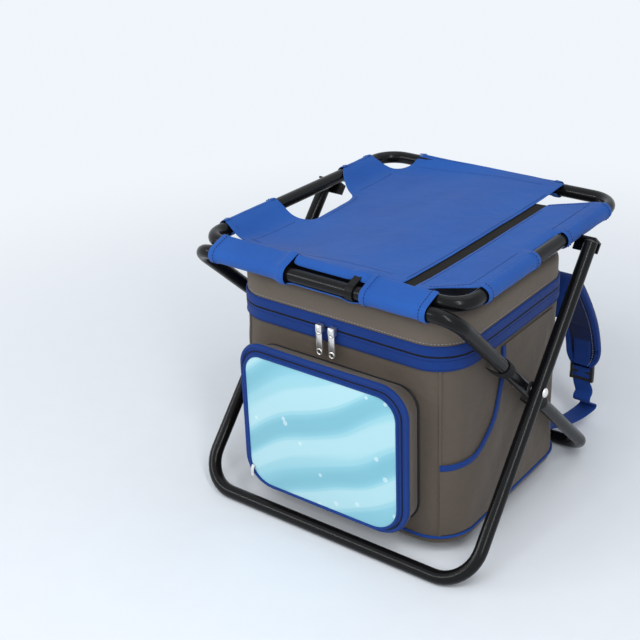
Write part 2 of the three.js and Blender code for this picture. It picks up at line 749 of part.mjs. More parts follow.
function sideStrip() {
  const frontY = -RING_HALF_DEPTH + sleeveOuter + GAP;
  const rightX = RING_HALF_WIDTH;
  const outline = [
    [STRIP_LEFT_X, frontY],
    [FRONT_SLEEVE[1] - HEM_END, frontY],
    [rightX, RIGHT_SLEEVE_FRONT[0] + HEM_END],
    [rightX, RIGHT_SLEEVE_FRONT[1] - HEM_END],
    [rightX - sleeveOuter - HEM_END, RIGHT_SLEEVE_FRONT[1] + HEM_END],
    [rightX - sleeveOuter - HEM_END, RIGHT_SLEEVE_REAR[0] - HEM_END],
    [rightX, RIGHT_SLEEVE_REAR[0] + HEM_END],
    [rightX, RIGHT_SLEEVE_REAR[1] - HEM_END],
    [rightX - sleeveOuter, RIGHT_SLEEVE_REAR[1] - 2 * HEM_END],
    [STRIP_LEFT_X, STRIP_REAR_Y],
  ];
  const cloth = joined(
    panel(outline, panelBottom, panelTop),
    sideSleeve(1, RIGHT_SLEEVE_FRONT),
    sideSleeve(1, RIGHT_SLEEVE_REAR),
  );
  return cut(cloth, sleeveBore(), stopSlot());
}

// The right sleeve is slotted where the stop meets the ring.
function stopSlot() {
  const reach = STOP_REACH + 2 * STOP_THICKNESS + SLEEVE_GAP;
  const low = [RING_HALF_WIDTH - TUBE_RADIUS, outerTop.x - reach, RING_HEIGHT - 2 * sleeveOuter];
  const high = [RING_HALF_WIDTH + 2 * sleeveOuter, outerTop.x + 2 * reach, RING_HEIGHT];
  return box(low, high);
}

function slotTape() {
  const frontY = -RING_HALF_DEPTH + sleeveOuter + GAP;
  const low = [PANEL_RIGHT_X - TAPE_LAP, frontY, panelBottom - GAP - CLOTH];
  const high = [STRIP_LEFT_X + TAPE_LAP, STRIP_REAR_Y, panelBottom - GAP];
  return box(low, high);
}

// Bag: rounded boxes drawn in x and y
function bagOutline(inset) {
  const half = BAG_HALF_WIDTH - inset;
  const front = BAG_FRONT_Y + inset;
  const rear = BAG_REAR_Y - inset;
  const radius = BAG_CORNER - inset;
  const corners = [
    [half - radius, front + radius, -Math.PI / 2],
    [half - radius, rear - radius, 0],
    [-half + radius, rear - radius, Math.PI / 2],
    [-half + radius, front + radius, Math.PI],
  ];
  const points = [];
  corners.forEach(([x, y, start]) => {
    for (let step = 0; step <= CORNER_STEPS; step += 1) {
      const angle = start + (Math.PI * step) / (2 * CORNER_STEPS);
      points.push(new THREE.Vector2(x + radius * Math.cos(angle), y + radius * Math.sin(angle)));
    }
  });
  return points;
}

function bagRing(outerInset, innerInset, low, high) {
  const shape = new THREE.Shape(bagOutline(outerInset));
  shape.holes.push(new THREE.Path(bagOutline(innerInset)));
  const geometry = new THREE.ExtrudeGeometry(shape, { depth: high - low, bevelEnabled: false });
  return geometry.translate(0, 0, low);
}

function bagRingAt(inset, height) {
  return bagOutline(inset).map((point) => new THREE.Vector3(point.x, point.y, height));
}

function bagPan(outerInset, wall, low, high) {
  const rounding = TURN_WALLS * wall;
  const outer = loft([
    bagRingAt(outerInset + rounding, low),
    bagRingAt(outerInset, low + rounding),
    bagRingAt(outerInset, high),
  ]);
  const inner = loft([
    bagRingAt(outerInset + wall + rounding, low + wall),
    bagRingAt(outerInset + wall, low + wall + rounding),
    bagRingAt(outerInset + wall, high + wall),
  ]);
  return cut(outer, inner);
}

function bagLid(outerInset, wall, low, high, edge) {
  const outer = loft([
    bagRingAt(outerInset, low),
    bagRingAt(outerInset, high - edge),
    bagRingAt(outerInset + edge * LID_TURN_SHARE, high - edge * LID_TURN_SHARE),
    bagRingAt(outerInset + edge, high),
  ]);
  const inner = loft([
    bagRingAt(outerInset + wall, low - wall),
    bagRingAt(outerInset + wall, high - edge - wall),
    bagRingAt(outerInset + wall + edge, high - wall),
  ]);
  return cut(outer, inner);
}

const linerInset = BAG_WALL + GAP;

// Front pocket: a tapered box that stands out from the bag's front
function pocketRing(half, low, high, corner, y) {
  const points = [];
  const corners = [
    [half - corner, low + corner, -Math.PI / 2],
    [half - corner, high - corner, 0],
    [-half + corner, high - corner, Math.PI / 2],
    [-half + corner, low + corner, Math.PI],
  ];
  corners.forEach(([x, z, start]) => {
    for (let step = 0; step <= POCKET_CORNER_STEPS; step += 1) {
      const angle = start + (Math.PI * step) / (2 * POCKET_CORNER_STEPS);
      points.push(new THREE.Vector3(x + corner * Math.cos(angle), y, z + corner * Math.sin(angle)));
    }
  });
  return points;
}

function pocketBody(inset, frontY, rearY) {
  return loft([
    pocketRing(
      POCKET_BASE_HALF - inset,
      POCKET_BASE_LOW + inset,
      POCKET_BASE_HIGH - inset,
      POCKET_CORNER,
      rearY,
    ),
    pocketRing(
      POCKET_FACE_HALF - inset,
      POCKET_FACE_LOW + inset,
      POCKET_FACE_HIGH - inset,
      POCKET_CORNER,
      frontY,
    ),
  ]);
}

const pocketRear = BAG_FRONT_Y - GAP;
const flapRear = POCKET_FACE_Y - GAP;

function pocketGusset() {
  const backed = pocketBody(0, POCKET_FACE_Y, pocketRear);
  const backWall = pocketRear - POCKET_WALL;
  return cut(backed, pocketBody(POCKET_WALL, POCKET_FACE_Y - POCKET_WALL, backWall));
}

// A cord round the pocket's seam, laid against the gusset
function pocketPiping() {
  const grow = PIPING_PROUD + GAP;
  const ring = (y) =>
    pocketRing(
      POCKET_BASE_HALF + grow,
      POCKET_BASE_LOW - grow,
      POCKET_BASE_HIGH + grow,
      POCKET_CORNER + grow,
      y,
    );
  const slab = loft([ring(pocketRear), ring(pocketRear - POCKET_WALL)]);
  return cut(slab, pocketBody(-GAP, POCKET_FACE_Y, pocketRear + GAP));
}

// The flap's cloth and its binding, which is wide along the zip at the top and the right
function flapOutline(edge, zipEdge) {
  const corner = POCKET_CORNER - edge;
  const left = -POCKET_FACE_HALF + edge + corner;
  const right = POCKET_FACE_HALF - zipEdge - corner;
  const low = POCKET_FACE_LOW + edge + corner;
  const high = POCKET_FACE_HIGH - zipEdge - corner;
  const points = [];
  [
    [right, low, -Math.PI / 2],
    [right, high, 0],
    [left, high, Math.PI / 2],
    [left, low, Math.PI],
  ].forEach(([x, z, start]) => {
    for (let step = 0; step <= POCKET_CORNER_STEPS; step += 1) {
      const angle = start + (Math.PI * step) / (2 * POCKET_CORNER_STEPS);
      points.push(new THREE.Vector2(x + corner * Math.cos(angle), z + corner * Math.sin(angle)));
    }
  });
  return points;
}

const bindingFront = flapRear - POCKET_FLAP;

function pocketFlapPanel() {
  const outline = flapOutline(POCKET_BINDING + GAP, POCKET_ZIP_BINDING + GAP);
  return alongY(new THREE.Shape(outline), bindingFront + GAP, flapRear);
}

function pocketBinding() {
  const shape = new THREE.Shape(flapOutline(0, 0));
  shape.holes.push(new THREE.Path(flapOutline(POCKET_BINDING, POCKET_ZIP_BINDING)));
  return alongY(shape, bindingFront, flapRear);
}

// Side slip pockets: an empty pocket's cloth, flat on the bag's side, with a scooped mouth
function mouthPoints(inset) {
  const points = [];
  for (let step = SIDE_POCKET_STEPS; step >= 0; step -= 1) {
    const angle = (Math.PI * step) / (2 * SIDE_POCKET_STEPS);
    const y = SIDE_POCKET_FRONT_Y + (SIDE_MOUTH_LENGTH - inset) * Math.sin(angle);
    const z = SIDE_POCKET_HIGH_Z - (SIDE_MOUTH_HEIGHT - inset) * Math.cos(angle);
    points.push(new THREE.Vector2(y, z));
  }
  return points;
}

const sideNear = BAG_HALF_WIDTH + GAP;
const sideFar = sideNear + SIDE_POCKET_CLOTH;

function sidePocket(side) {
  const outline = [
    new THREE.Vector2(SIDE_POCKET_FRONT_Y, SIDE_POCKET_LOW_Z),
    new THREE.Vector2(SIDE_POCKET_REAR_Y, SIDE_POCKET_LOW_Z),
    new THREE.Vector2(SIDE_POCKET_REAR_Y, SIDE_POCKET_HIGH_Z),
    ...mouthPoints(0),
  ];
  return alongX(new THREE.Shape(outline), ...sideSpan(side, sideNear, sideFar));
}

function sidePocketBinding(side) {
  const outline = mouthPoints(GAP + SIDE_POCKET_BINDING);
  const shape = new THREE.Shape([...mouthPoints(GAP), ...outline.reverse()]);
  return alongX(shape, ...sideSpan(side, sideNear, sideFar));
}

// Zip slider with an ear, and a pull that hangs from the ear's pin
const bandFront = BAG_FRONT_Y - BAND_THICKNESS - GAP;
const sliderRear = bandFront - ZIP_TEETH_PROUD - GAP;
const eyeRadius = PULL_BORE + PULL_THICKNESS / 2;
const pinY = sliderRear - SLIDER_DEPTH - eyeRadius - HINGE_GAP;
const pinZ = ZIP_Z - SLIDER_HEIGHT / 4;

function zipSlider(x) {
  const half = SLIDER_WIDTH / 2;
  const tip = half / 2;
  const outline = [
    [-half, SLIDER_HEIGHT / 4],
    [-tip, SLIDER_HEIGHT / 2],
    [tip, SLIDER_HEIGHT / 2],
    [half, SLIDER_HEIGHT / 4],
    [tip, -SLIDER_HEIGHT / 2],
    [-tip, -SLIDER_HEIGHT / 2],
  ].reverse();
  const shape = new THREE.Shape(outline.map(([dx, dz]) => new THREE.Vector2(x + dx, dz + ZIP_Z)));
  const body = alongY(shape, sliderRear - SLIDER_DEPTH, sliderRear);
  const earHalf = (PULL_WIDTH * EAR_SHARE) / 2;
  const earLow = [x - earHalf, pinY - SLIDER_EAR / 2, pinZ - SLIDER_EAR / 2];
  const earHigh = [x + earHalf, sliderRear - SLIDER_DEPTH / 2, pinZ + SLIDER_EAR / 2];
  const pinReach = PULL_WIDTH / 2;
  const pinStart = new THREE.Vector3(x - pinReach, pinY, pinZ);
  const pinEnd = new THREE.Vector3(x + pinReach, pinY, pinZ);
  const pin = rod(pinStart, pinEnd, PULL_PIN, TUBE_SIDES / 2);
  return joined(body, box(earLow, earHigh), pin);
}

function zipPull(x) {
  const half = PULL_WIDTH / 2;
  const fork = (PULL_WIDTH * EAR_SHARE) / 2 + HINGE_GAP;
  const top = pinZ + eyeRadius;
  const low = pinZ - PULL_LENGTH;
  const shoulder = half * SHOULDER_SHARE;
  const outline = [
    [-shoulder, top],
    [-fork, top],
    [-fork, pinZ - SLIDER_EAR - HINGE_GAP],
    [fork, pinZ - SLIDER_EAR - HINGE_GAP],
    [fork, top],
    [shoulder, top],
    [half, low + half],
    [half / 2, low],
    [-half / 2, low],
    [-half, low + half],
  ].reverse();
  const shape = new THREE.Shape(outline.map(([dx, z]) => new THREE.Vector2(x + dx, z)));
  const slotHigh = pinZ - PULL_SLOT_START;
  const slotLow = slotHigh - PULL_SLOT_LENGTH;
  const slot = [
    [-PULL_SLOT_HALF, slotLow],
    [-PULL_SLOT_HALF, slotHigh],
    [PULL_SLOT_HALF, slotHigh],
    [PULL_SLOT_HALF, slotLow],
  ];
  shape.holes.push(new THREE.Path(slot.map(([dx, z]) => new THREE.Vector2(x + dx, z))));
  const plate = alongY(shape, pinY - PULL_THICKNESS / 2, pinY + PULL_THICKNESS / 2);
  const eyes = [-1, 1].map((side) => {
    const from = new THREE.Vector3(x + side * fork, pinY, pinZ);
    const to = new THREE.Vector3(x + side * shoulder, pinY, pinZ);
    return rod(from, to, eyeRadius, TUBE_SIDES / 2);
  });
  const bore = rod(
    new THREE.Vector3(x - PULL_WIDTH, pinY, pinZ),
    new THREE.Vector3(x + PULL_WIDTH, pinY, pinZ),
    PULL_BORE,
    TUBE_SIDES / 2,
  );
  return cut(joined(plate, ...eyes), bore);
}

// Webbing loop round an inner leg, with a tongue sewn to the bag's side
function hangLoop(side, height, tongueStart) {
  const centre = placeOnInnerLeg(height);
  const along = innerFall.clone().normalize();
  const start = centre.clone().addScaledVector(along, -LOOP_WIDTH / 2);
  const end = centre.clone().addScaledVector(along, LOOP_WIDTH / 2);
  const x = side * INNER_HALF_WIDTH;
  const inner = TUBE_RADIUS + SLEEVE_GAP / 2;
  const band = rod(leg(x, start), leg(x, end), inner + LOOP_CLOTH, BOLT_SIDES);
  const tongueLength = INNER_HALF_WIDTH - TUBE_RADIUS - tongueStart - GAP + LOOP_CLOTH / 2;
  const tongue = new THREE.BoxGeometry(tongueLength, LOOP_WIDTH, TONGUE_THICKNESS);
  tongue.rotateX(Math.atan2(along.y, along.x));
  const tongueX = side * (tongueStart + GAP + tongueLength / 2);
  tongue.translate(tongueX, centre.x, centre.y);
  const bore = rod(
    leg(x, start.clone().addScaledVector(along, -LOOP_WIDTH)),
    leg(x, end.clone().addScaledVector(along, LOOP_WIDTH)),
    inner,
    BOLT_SIDES,
  );
  return cut(joined(band, tongue), bore);
}

// A flat strap along a route; its width lies along x.
function ribbon(route, width, thickness) {
  const across = new THREE.Vector3(1, 0, 0);
  const shares = [
    [1, -0.5],
    [1, 0.5],
    [0.94, 1],
    [-0.94, 1],
    [-1, 0.5],
    [-1, -0.5],
    [-0.94, -1],
    [0.94, -1],
  ];
  const rings = route.map((point, index) => {
    const before = route[Math.max(index - 1, 0)];
    const after = route[Math.min(index + 1, route.length - 1)];
    const heading = after.clone().sub(before).normalize();
    const normal = heading.clone().cross(across).normalize();
    return shares.map(([wide, thick]) =>
      point
        .clone()
        .addScaledVector(across, (width / 2) * wide)
        .addScaledVector(normal, (thickness / 2) * thick),
    );
  });
  return loft(rings);
}

function strapRoute(side) {
  const nearY = BAG_REAR_Y + GAP + STRAP_THICKNESS / 2;
  const rise = STRAP_HIGH_Z - STRAP_LOW_Z;
  return STRAP_SHARES.map(([aside, out, up]) => {
    const x = side * (STRAP_X + STRAP_SPLAY * aside);
    return new THREE.Vector3(x, nearY + STRAP_REACH * out, STRAP_LOW_Z + rise * up);
  });
}

// The buckle carries on from the strap's end, in the way that the strap points there.
function strapEnd(side) {
  const [before, end] = strapRoute(side).slice(-2);
  const heading = end.clone().sub(before).normalize();
  return { end, heading };
}

function shoulderStrap(side) {
  return ribbon(strapRoute(side), STRAP_WIDTH, STRAP_THICKNESS);
}

const basePipingTop = BAG_FLOOR_Z + (2 + TURN_WALLS) * BAG_WALL + PIPING_HEIGHT;

function strapWebbing(side) {
  const { end, heading } = strapEnd(side);
  const start = end.clone().addScaledVector(heading, GAP + BUCKLE_HEIGHT + BUTT_GAP);
  const nearY = BAG_REAR_Y + GAP + WEB_THICKNESS / 2;
  const lowZ = basePipingTop + GAP;
  const rise = start.z - WEB_DROP - lowZ;
  const route = WEB_SHARES.map(([aside, out, up]) => {
    const x = side * (STRAP_X + WEB_SPLAY * aside);
    return new THREE.Vector3(x, nearY + WEB_REACH * out, lowZ + rise * up);
  });
  return ribbon([start, ...route], WEB_WIDTH, WEB_THICKNESS);
}

function strapBuckle(side) {
  const half = BUCKLE_WIDTH / 2;
  const tall = BUCKLE_HEIGHT / 2;
  const shape = new THREE.Shape([
    new THREE.Vector2(-half, -tall),
    new THREE.Vector2(half, -tall),
    new THREE.Vector2(half, tall),
    new THREE.Vector2(-half, tall),
  ]);
  const slotHalf = half - BUCKLE_BAR;
  [-1, 1].forEach((row) => {
    const middle = (row * (BUCKLE_BAR + BUCKLE_SLOT)) / 2;
    const low = middle - BUCKLE_SLOT / 2;
    const high = middle + BUCKLE_SLOT / 2;
    shape.holes.push(
      new THREE.Path([
        new THREE.Vector2(-slotHalf, low),
        new THREE.Vector2(-slotHalf, high),
        new THREE.Vector2(slotHalf, high),
        new THREE.Vector2(slotHalf, low),
      ]),
    );
  });
  const geometry = new THREE.ExtrudeGeometry(shape, {
    depth: BUCKLE_THICKNESS,
    bevelEnabled: false,
  });
  geometry.translate(0, 0, -BUCKLE_THICKNESS / 2);
  const { end, heading } = strapEnd(side);
  const level = new THREE.Vector3(side, 0, 0).cross(heading).multiplyScalar(side);
  const turn = new THREE.Matrix4().makeBasis(
    new THREE.Vector3(1, 0, 0),
    heading.clone().negate(),
    level.normalize().negate(),
  );
  geometry.applyMatrix4(turn);
  const centre = end.clone().addScaledVector(heading, GAP + tall);
  return geometry.translate(centre.x, centre.y, centre.z);
}

// Frame
addPiece("inner_frame_tube", innerFrame(), "paint");
addPiece("outer_frame_tube", outerFrame(), "paint");
addPiece("seat_ring_tube", seatRing(), "paint");

const sides = [
  ["left", -1],
  ["right", 1],
];
sides.forEach(([name, side]) => {
  addPiece("leg_end_cap_" + name, endCap(side), "plastic");
  addPiece("pivot_bolt_" + name, pivotBolt(side), "steel");
  addPiece("pivot_washer_" + name, pivotWasher(side), "plastic");
  addPiece("seat_stop_" + name, seatStop(side), "paint");
});
addPiece("seat_hinge_clip_left", hingeClip(CLIP_LEFT_X), "plastic");
addPiece("seat_hinge_clip_right", hingeClip(CLIP_RIGHT_X), "plastic");

// Seat cloth
addPiece("seat_main_panel", mainPanel(), "blue");
addPiece("seat_side_strip", sideStrip(), "blue");
addPiece("seat_slot_tape", slotTape(), "plastic");

// Bag body
const bodyTop = ZIP_Z - GAP / 2;
addPiece("bag_shell", bagPan(0, BAG_WALL, BAG_FLOOR_Z, bodyTop), "taupe");
const linerFloor = BAG_FLOOR_Z + linerInset;
addPiece("bag_liner", bagPan(linerInset, LINER_WALL, linerFloor, bodyTop), "liner");
const bandInset = -BAND_THICKNESS - GAP;
const teethInset = bandInset - ZIP_TEETH_PROUD;
addPiece("zip_tape_lower", bagRing(bandInset, -GAP, BAND_LOW_Z, bodyTop), "blue");
addPiece(
  "zip_teeth_lower",
  bagRing(teethInset, bandInset - GAP, bodyTop - ZIP_TEETH_HEIGHT, bodyTop),
  "plastic",
);
addPiece(
  "bag_base_piping",
  bagRing(-PIPING_PROUD - GAP, -GAP, basePipingTop - PIPING_HEIGHT, basePipingTop),
  "blue",
);
addPiece("front_pocket_gusset", pocketGusset(), "taupe");
addPiece("front_pocket_piping", pocketPiping(), "plastic");
sides.forEach(([name, side]) => {
  addPiece("side_pocket_" + name, sidePocket(side), "taupe");
  addPiece("side_pocket_binding_" + name, sidePocketBinding(side), "blue");
  const frontLoop = hangLoop(side, BAND_LOW_Z - LOOP_FRONT_DROP, BAG_HALF_WIDTH);
  addPiece("hang_loop_front_" + name, frontLoop, "plastic");
  const rearLoop = hangLoop(side, pivot.y - LOOP_PIVOT_DROP, sideFar);
  addPiece("hang_loop_rear_" + name, rearLoop, "plastic");
  addPiece("shoulder_strap_" + name, shoulderStrap(side), "navy");
  addPiece("strap_webbing_" + name, strapWebbing(side), "blue");
  addPiece("strap_buckle_" + name, strapBuckle(side), "plastic");
});

// Lid
const lidBottom = ZIP_Z + GAP / 2;
addPiece("lid_shell", bagLid(0, BAG_WALL, lidBottom, LID_TOP_Z, LID_EDGE), "taupe");
addPiece("zip_tape_upper", bagRing(bandInset, -GAP, lidBottom, BAND_HIGH_Z), "blue");
addPiece(
  "zip_teeth_upper",
  bagRing(teethInset, bandInset - GAP, lidBottom, lidBottom + ZIP_TEETH_HEIGHT),
  "plastic",
);
addPiece(
  "lid_piping",
  bagRing(-PIPING_PROUD - GAP, -GAP, BAND_HIGH_Z + GAP, BAND_HIGH_Z + GAP + PIPING_HEIGHT),
  "cord",
);

// Pocket front and zips
addPiece("pocket_flap_panel", pocketFlapPanel(), "print");
addPiece("pocket_flap_binding", pocketBinding(), "blue");
[
  ["left", SLIDER_LEFT_X],
  ["right", SLIDER_RIGHT_X],
].forEach(([name, x]) => {
  addPiece("zip_slider_" + name, zipSlider(x), "steel");
  addPiece("zip_pull_" + name, zipPull(x), "steel");
});

// The origin lies on the floor, under the middle of the stool's outline.
const extent = new THREE.Box3().setFromObject(stool);
const middle = extent.getCenter(new THREE.Vector3());
stool.position.set(-middle.x, -middle.y, -extent.min.z);

export default stool;
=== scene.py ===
# %% [markdown]
# # A folding stool with a cooler bag in its legs
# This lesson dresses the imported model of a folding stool. Two tube frames cross at a pair
# of bolts, a tube ring with a cloth seat rests on them, and a zipped cooler bag hangs
# between the legs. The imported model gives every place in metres, so each new piece is made
# where its solid stands, and rides on the same body.

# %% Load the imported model
import math

import bpy
from mathutils import Matrix, Vector, noise


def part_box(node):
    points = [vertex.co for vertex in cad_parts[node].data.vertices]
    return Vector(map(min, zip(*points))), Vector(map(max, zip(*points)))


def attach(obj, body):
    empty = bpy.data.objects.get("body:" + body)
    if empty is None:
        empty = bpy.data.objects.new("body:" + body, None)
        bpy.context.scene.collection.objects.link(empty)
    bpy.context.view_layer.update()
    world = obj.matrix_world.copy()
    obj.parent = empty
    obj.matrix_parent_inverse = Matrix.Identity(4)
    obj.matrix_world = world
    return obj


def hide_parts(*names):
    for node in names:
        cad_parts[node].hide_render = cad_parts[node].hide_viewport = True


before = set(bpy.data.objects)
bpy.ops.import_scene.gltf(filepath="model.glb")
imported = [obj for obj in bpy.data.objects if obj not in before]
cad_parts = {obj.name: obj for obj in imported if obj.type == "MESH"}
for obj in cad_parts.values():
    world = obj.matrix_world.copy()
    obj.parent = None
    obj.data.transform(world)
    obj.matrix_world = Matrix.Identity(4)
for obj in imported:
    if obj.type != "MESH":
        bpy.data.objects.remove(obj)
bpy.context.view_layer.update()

# %% [markdown]
# ## Places in millimetres
# The stool was drawn in millimetres with its zero in the middle of the seat ring. The
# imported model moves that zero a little, so the move is read back from the ring's own box.
# After that, at(x, y, z) turns a place on the drawing into a place in the scene.

# %% The drawing's zero and its main sizes
MM = 0.001
TUBE = 8.0
RING_HEIGHT = 332.0
RING_HALF_WIDTH = 170.5
RING_HALF_DEPTH = 181.0
ring_low, ring_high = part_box("seat_ring_tube")
ZERO = Vector((
    0,
    (ring_low[1] + ring_high[1]) / 2,
    (ring_low[2] + ring_high[2]) / 2 - RING_HEIGHT * MM,
))


def at(x, y, z):
    """The scene's place for a place on the drawing, in millimetres."""
    return Vector((x, y, z)) * MM + ZERO


print("drawing's zero:", [round(value, 5) for value in ZERO])

# %% [markdown]
# ## Camera
# The photograph looks down on the stool's right front corner. The camera's turn, height,
# distance and lens were worked out by fitting the straight tubes of the drawing to the
# same tubes in the photograph. The optical axis isn't in the middle of the picture, so a
# small shift stands in for it.

# %% Camera
VIEW_TURN = math.radians(33.777)
VIEW_HEIGHT = math.radians(23.048)
VIEW_ROLL = math.radians(-0.306)
VIEW_DISTANCE = 1418.44
VIEW_TARGET = (-8.0, -5.34, 281.25)
PICTURE = 640
FOCAL = 1188.47
CENTRE = (411.1, 258.52)
SENSOR = 36.0

back = Vector((
    math.sin(VIEW_TURN) * math.cos(VIEW_HEIGHT),
    -math.cos(VIEW_TURN) * math.cos(VIEW_HEIGHT),
    math.sin(VIEW_HEIGHT),
))
level = Vector((math.cos(VIEW_TURN), math.sin(VIEW_TURN), 0))
upward = back.cross(level)
right = level * math.cos(VIEW_ROLL) + upward * math.sin(VIEW_ROLL)
above = upward * math.cos(VIEW_ROLL) - level * math.sin(VIEW_ROLL)
lens = bpy.data.cameras.new("Camera")
lens.sensor_width = SENSOR
lens.lens = FOCAL * SENSOR / PICTURE
lens.shift_x = (PICTURE / 2 - CENTRE[0]) / PICTURE
lens.shift_y = (CENTRE[1] - PICTURE / 2) / PICTURE
camera = bpy.data.objects.new("Camera", lens)
bpy.context.collection.objects.link(camera)
camera.matrix_world = Matrix.Translation(at(*VIEW_TARGET) + back * VIEW_DISTANCE * MM) @ Matrix(
    (right, above, back)
).transposed().to_4x4()
bpy.context.scene.camera = camera
print("lens:", round(lens.lens, 2), "mm")

# %% [markdown]
# ## Shader sums written as Python
# Materials need arithmetic on textures. Wire wraps a node's output, so that a sum on wires
# adds the Math nodes. Tree feeds sockets and adds any other node, for a material or for the
# world, and Finish is the tree of one material.

# %% Wire, Tree and Finish


def math_node(operation, swapped=False):
    """A method that adds one Math node."""
    def method(self, other=0.0):
        first, second = (other, self) if swapped else (self, other)
        return self.tree.node("ShaderNodeMath", {"operation": operation}, {0: first, 1: second})
    return method


class Wire:
    """A node's output that can be added, multiplied and compared."""

    def __init__(self, tree, socket):
        self.tree = tree
        self.socket = socket

    __add__ = math_node("ADD")
    __radd__ = math_node("ADD", swapped=True)
    __sub__ = math_node("SUBTRACT")
    __rsub__ = math_node("SUBTRACT", swapped=True)
    __mul__ = math_node("MULTIPLY")
    __rmul__ = math_node("MULTIPLY", swapped=True)
    __gt__ = math_node("GREATER_THAN")
    __lt__ = math_node("LESS_THAN")
    sine = math_node("SINE")
    size = math_node("ABSOLUTE")
    larger = math_node("MAXIMUM")


class Tree:
    """The nodes of a material or a world, round its main shader."""

    def __init__(self, owner, main):
        owner.use_nodes = True
        self.nodes = owner.node_tree.nodes
        self.links = owner.node_tree.links
        self.shader = self.nodes[main]
        self.surface = self.shader.outputs[0].links[0].to_socket

    def feed(self, socket, value):
        """Link a wire to a socket, or set the socket's value; a name means the main shader's."""
        if isinstance(socket, str):
            socket = self.shader.inputs[socket]
        if isinstance(value, Wire):
            self.links.new(value.socket, socket)
        elif socket.type == "RGBA":
            socket.default_value = (*value[:3], 1)
        else:
            socket.default_value = value

    def node(self, kind, settings=None, inputs=None, output=0):
        made = self.nodes.new(kind)
        for name, value in (settings or {}).items():
            setattr(made, name, value)
        for name, value in (inputs or {}).items():
            self.feed(made.inputs[name], value)
        return Wire(self, made.outputs[output])

    def blend(self, share, other):
        """Let another shader take over from the main one, by a share."""
        mixed = {0: share, 1: Wire(self, self.shader.outputs[0]), 2: other}
        self.feed(self.surface, self.node("ShaderNodeMixShader", None, mixed))


class Finish(Tree):
    """A material, and the textures that feed it."""

    def __init__(self, name, colour, roughness, **constants):
        self.material = bpy.data.materials.new(name)
        super().__init__(self.material, "Principled BSDF")
        self.feed("Base Color", colour)
        self.feed("Roughness", roughness)
        for name, value in constants.items():
            self.feed(name.replace("_", " "), value)

    def ramp(self, value, stops):
        made = self.nodes.new("ShaderNodeValToRGB")
        elements = made.color_ramp.elements
        while len(elements) < len(stops):
            elements.new(1)
        for element, (place, colour) in zip(elements, stops):
            element.position = place
            element.color = (*colour, 1)
        self.feed(made.inputs[0], value)
        return Wire(self, made.outputs[0])

    def tint(self, share, first, second):
        settings = {"data_type": "RGBA"}
        return self.node("ShaderNodeMix", settings, {0: share, 6: first, 7: second}, 2)

    def places(self, kind="Object"):
        return self.node("ShaderNodeTexCoord", output=kind)

    def cloud(self, scale, detail):
        inputs = {"Vector": self.places(), "Scale": scale, "Detail": detail}
        return self.node("ShaderNodeTexNoise", None, inputs)

    def bump(self, height, strength, distance):
        inputs = {"Height": height, "Strength": strength, "Distance": distance}
        self.feed("Normal", self.node("ShaderNodeBump", None, inputs))

    def axes(self, vector):
        parts = self.nodes.new("ShaderNodeSeparateXYZ")
        self.feed(parts.inputs[0], vector)
        return [Wire(self, output) for output in parts.outputs]


print("Wire, Tree and Finish are ready")

# %% [markdown]
# ## Woven cloth
# The seat, the bag and the bindings are plain-woven synthetic cloth. Each sheet and sweep
# has a UV map in metres, so the threads keep their real size wherever the piece goes. Two
# sets of raised threads take turns on top, and the low parts of the weave between them are
# painted darker, as painted shade. A cloud of slow noise makes the dye and the dust uneven,
# and a little sheen gives the soft edge that cloth shows against the light. The wrinkle adds
# fine creases to the relief. Pads and stitches have no UV map, and show the clouds alone.

# %% Cloth finishes
THREAD = 0.0011
SEWING = {"pitch": 0.0004}
STRAPPING = {"pitch": 0.0016, "depth": 0.6}
CLOTH_ROUGHNESS = 0.82


def weave(finish, pitch):
    """Height of a plain weave, from the piece's own UV map."""
    across, along, _ = finish.axes(finish.places("UV"))
    warp = (across * (math.pi / pitch)).sine()
    weft = (along * (math.pi / pitch)).sine()
    over = (warp * weft) > 0.0
    return warp.size() * over + weft.size() * (1 - over)


def woven(name, dark, light, sheen=0.25, pitch=THREAD, depth=0.35, wrinkle=0.0):
    finish = Finish(name, light, CLOTH_ROUGHNESS, Sheen_Weight=sheen, Sheen_Roughness=0.45,
                    Specular_IOR_Level=0.18)
    height = weave(finish, pitch)
    slow = finish.cloud(9.0, 4.0)
    fine = finish.cloud(420.0, 2.0)
    shade = finish.tint(slow * 0.75 + fine * 0.25, dark, light)
    # The weave's low parts are painted darker here: painted shade between the raised threads.
    finish.feed("Base Color", finish.tint(height * 0.35 + 0.65, dark, shade))
    finish.feed("Roughness", CLOTH_ROUGHNESS - 0.14 + slow * 0.2)
    relief = height * 0.6 + fine * 0.4
    if wrinkle:
        relief = relief + (finish.cloud(26.0, 3.0) + finish.cloud(70.0, 2.0) * 0.35) * wrinkle
    finish.bump(relief, depth, 0.0004)
    return finish


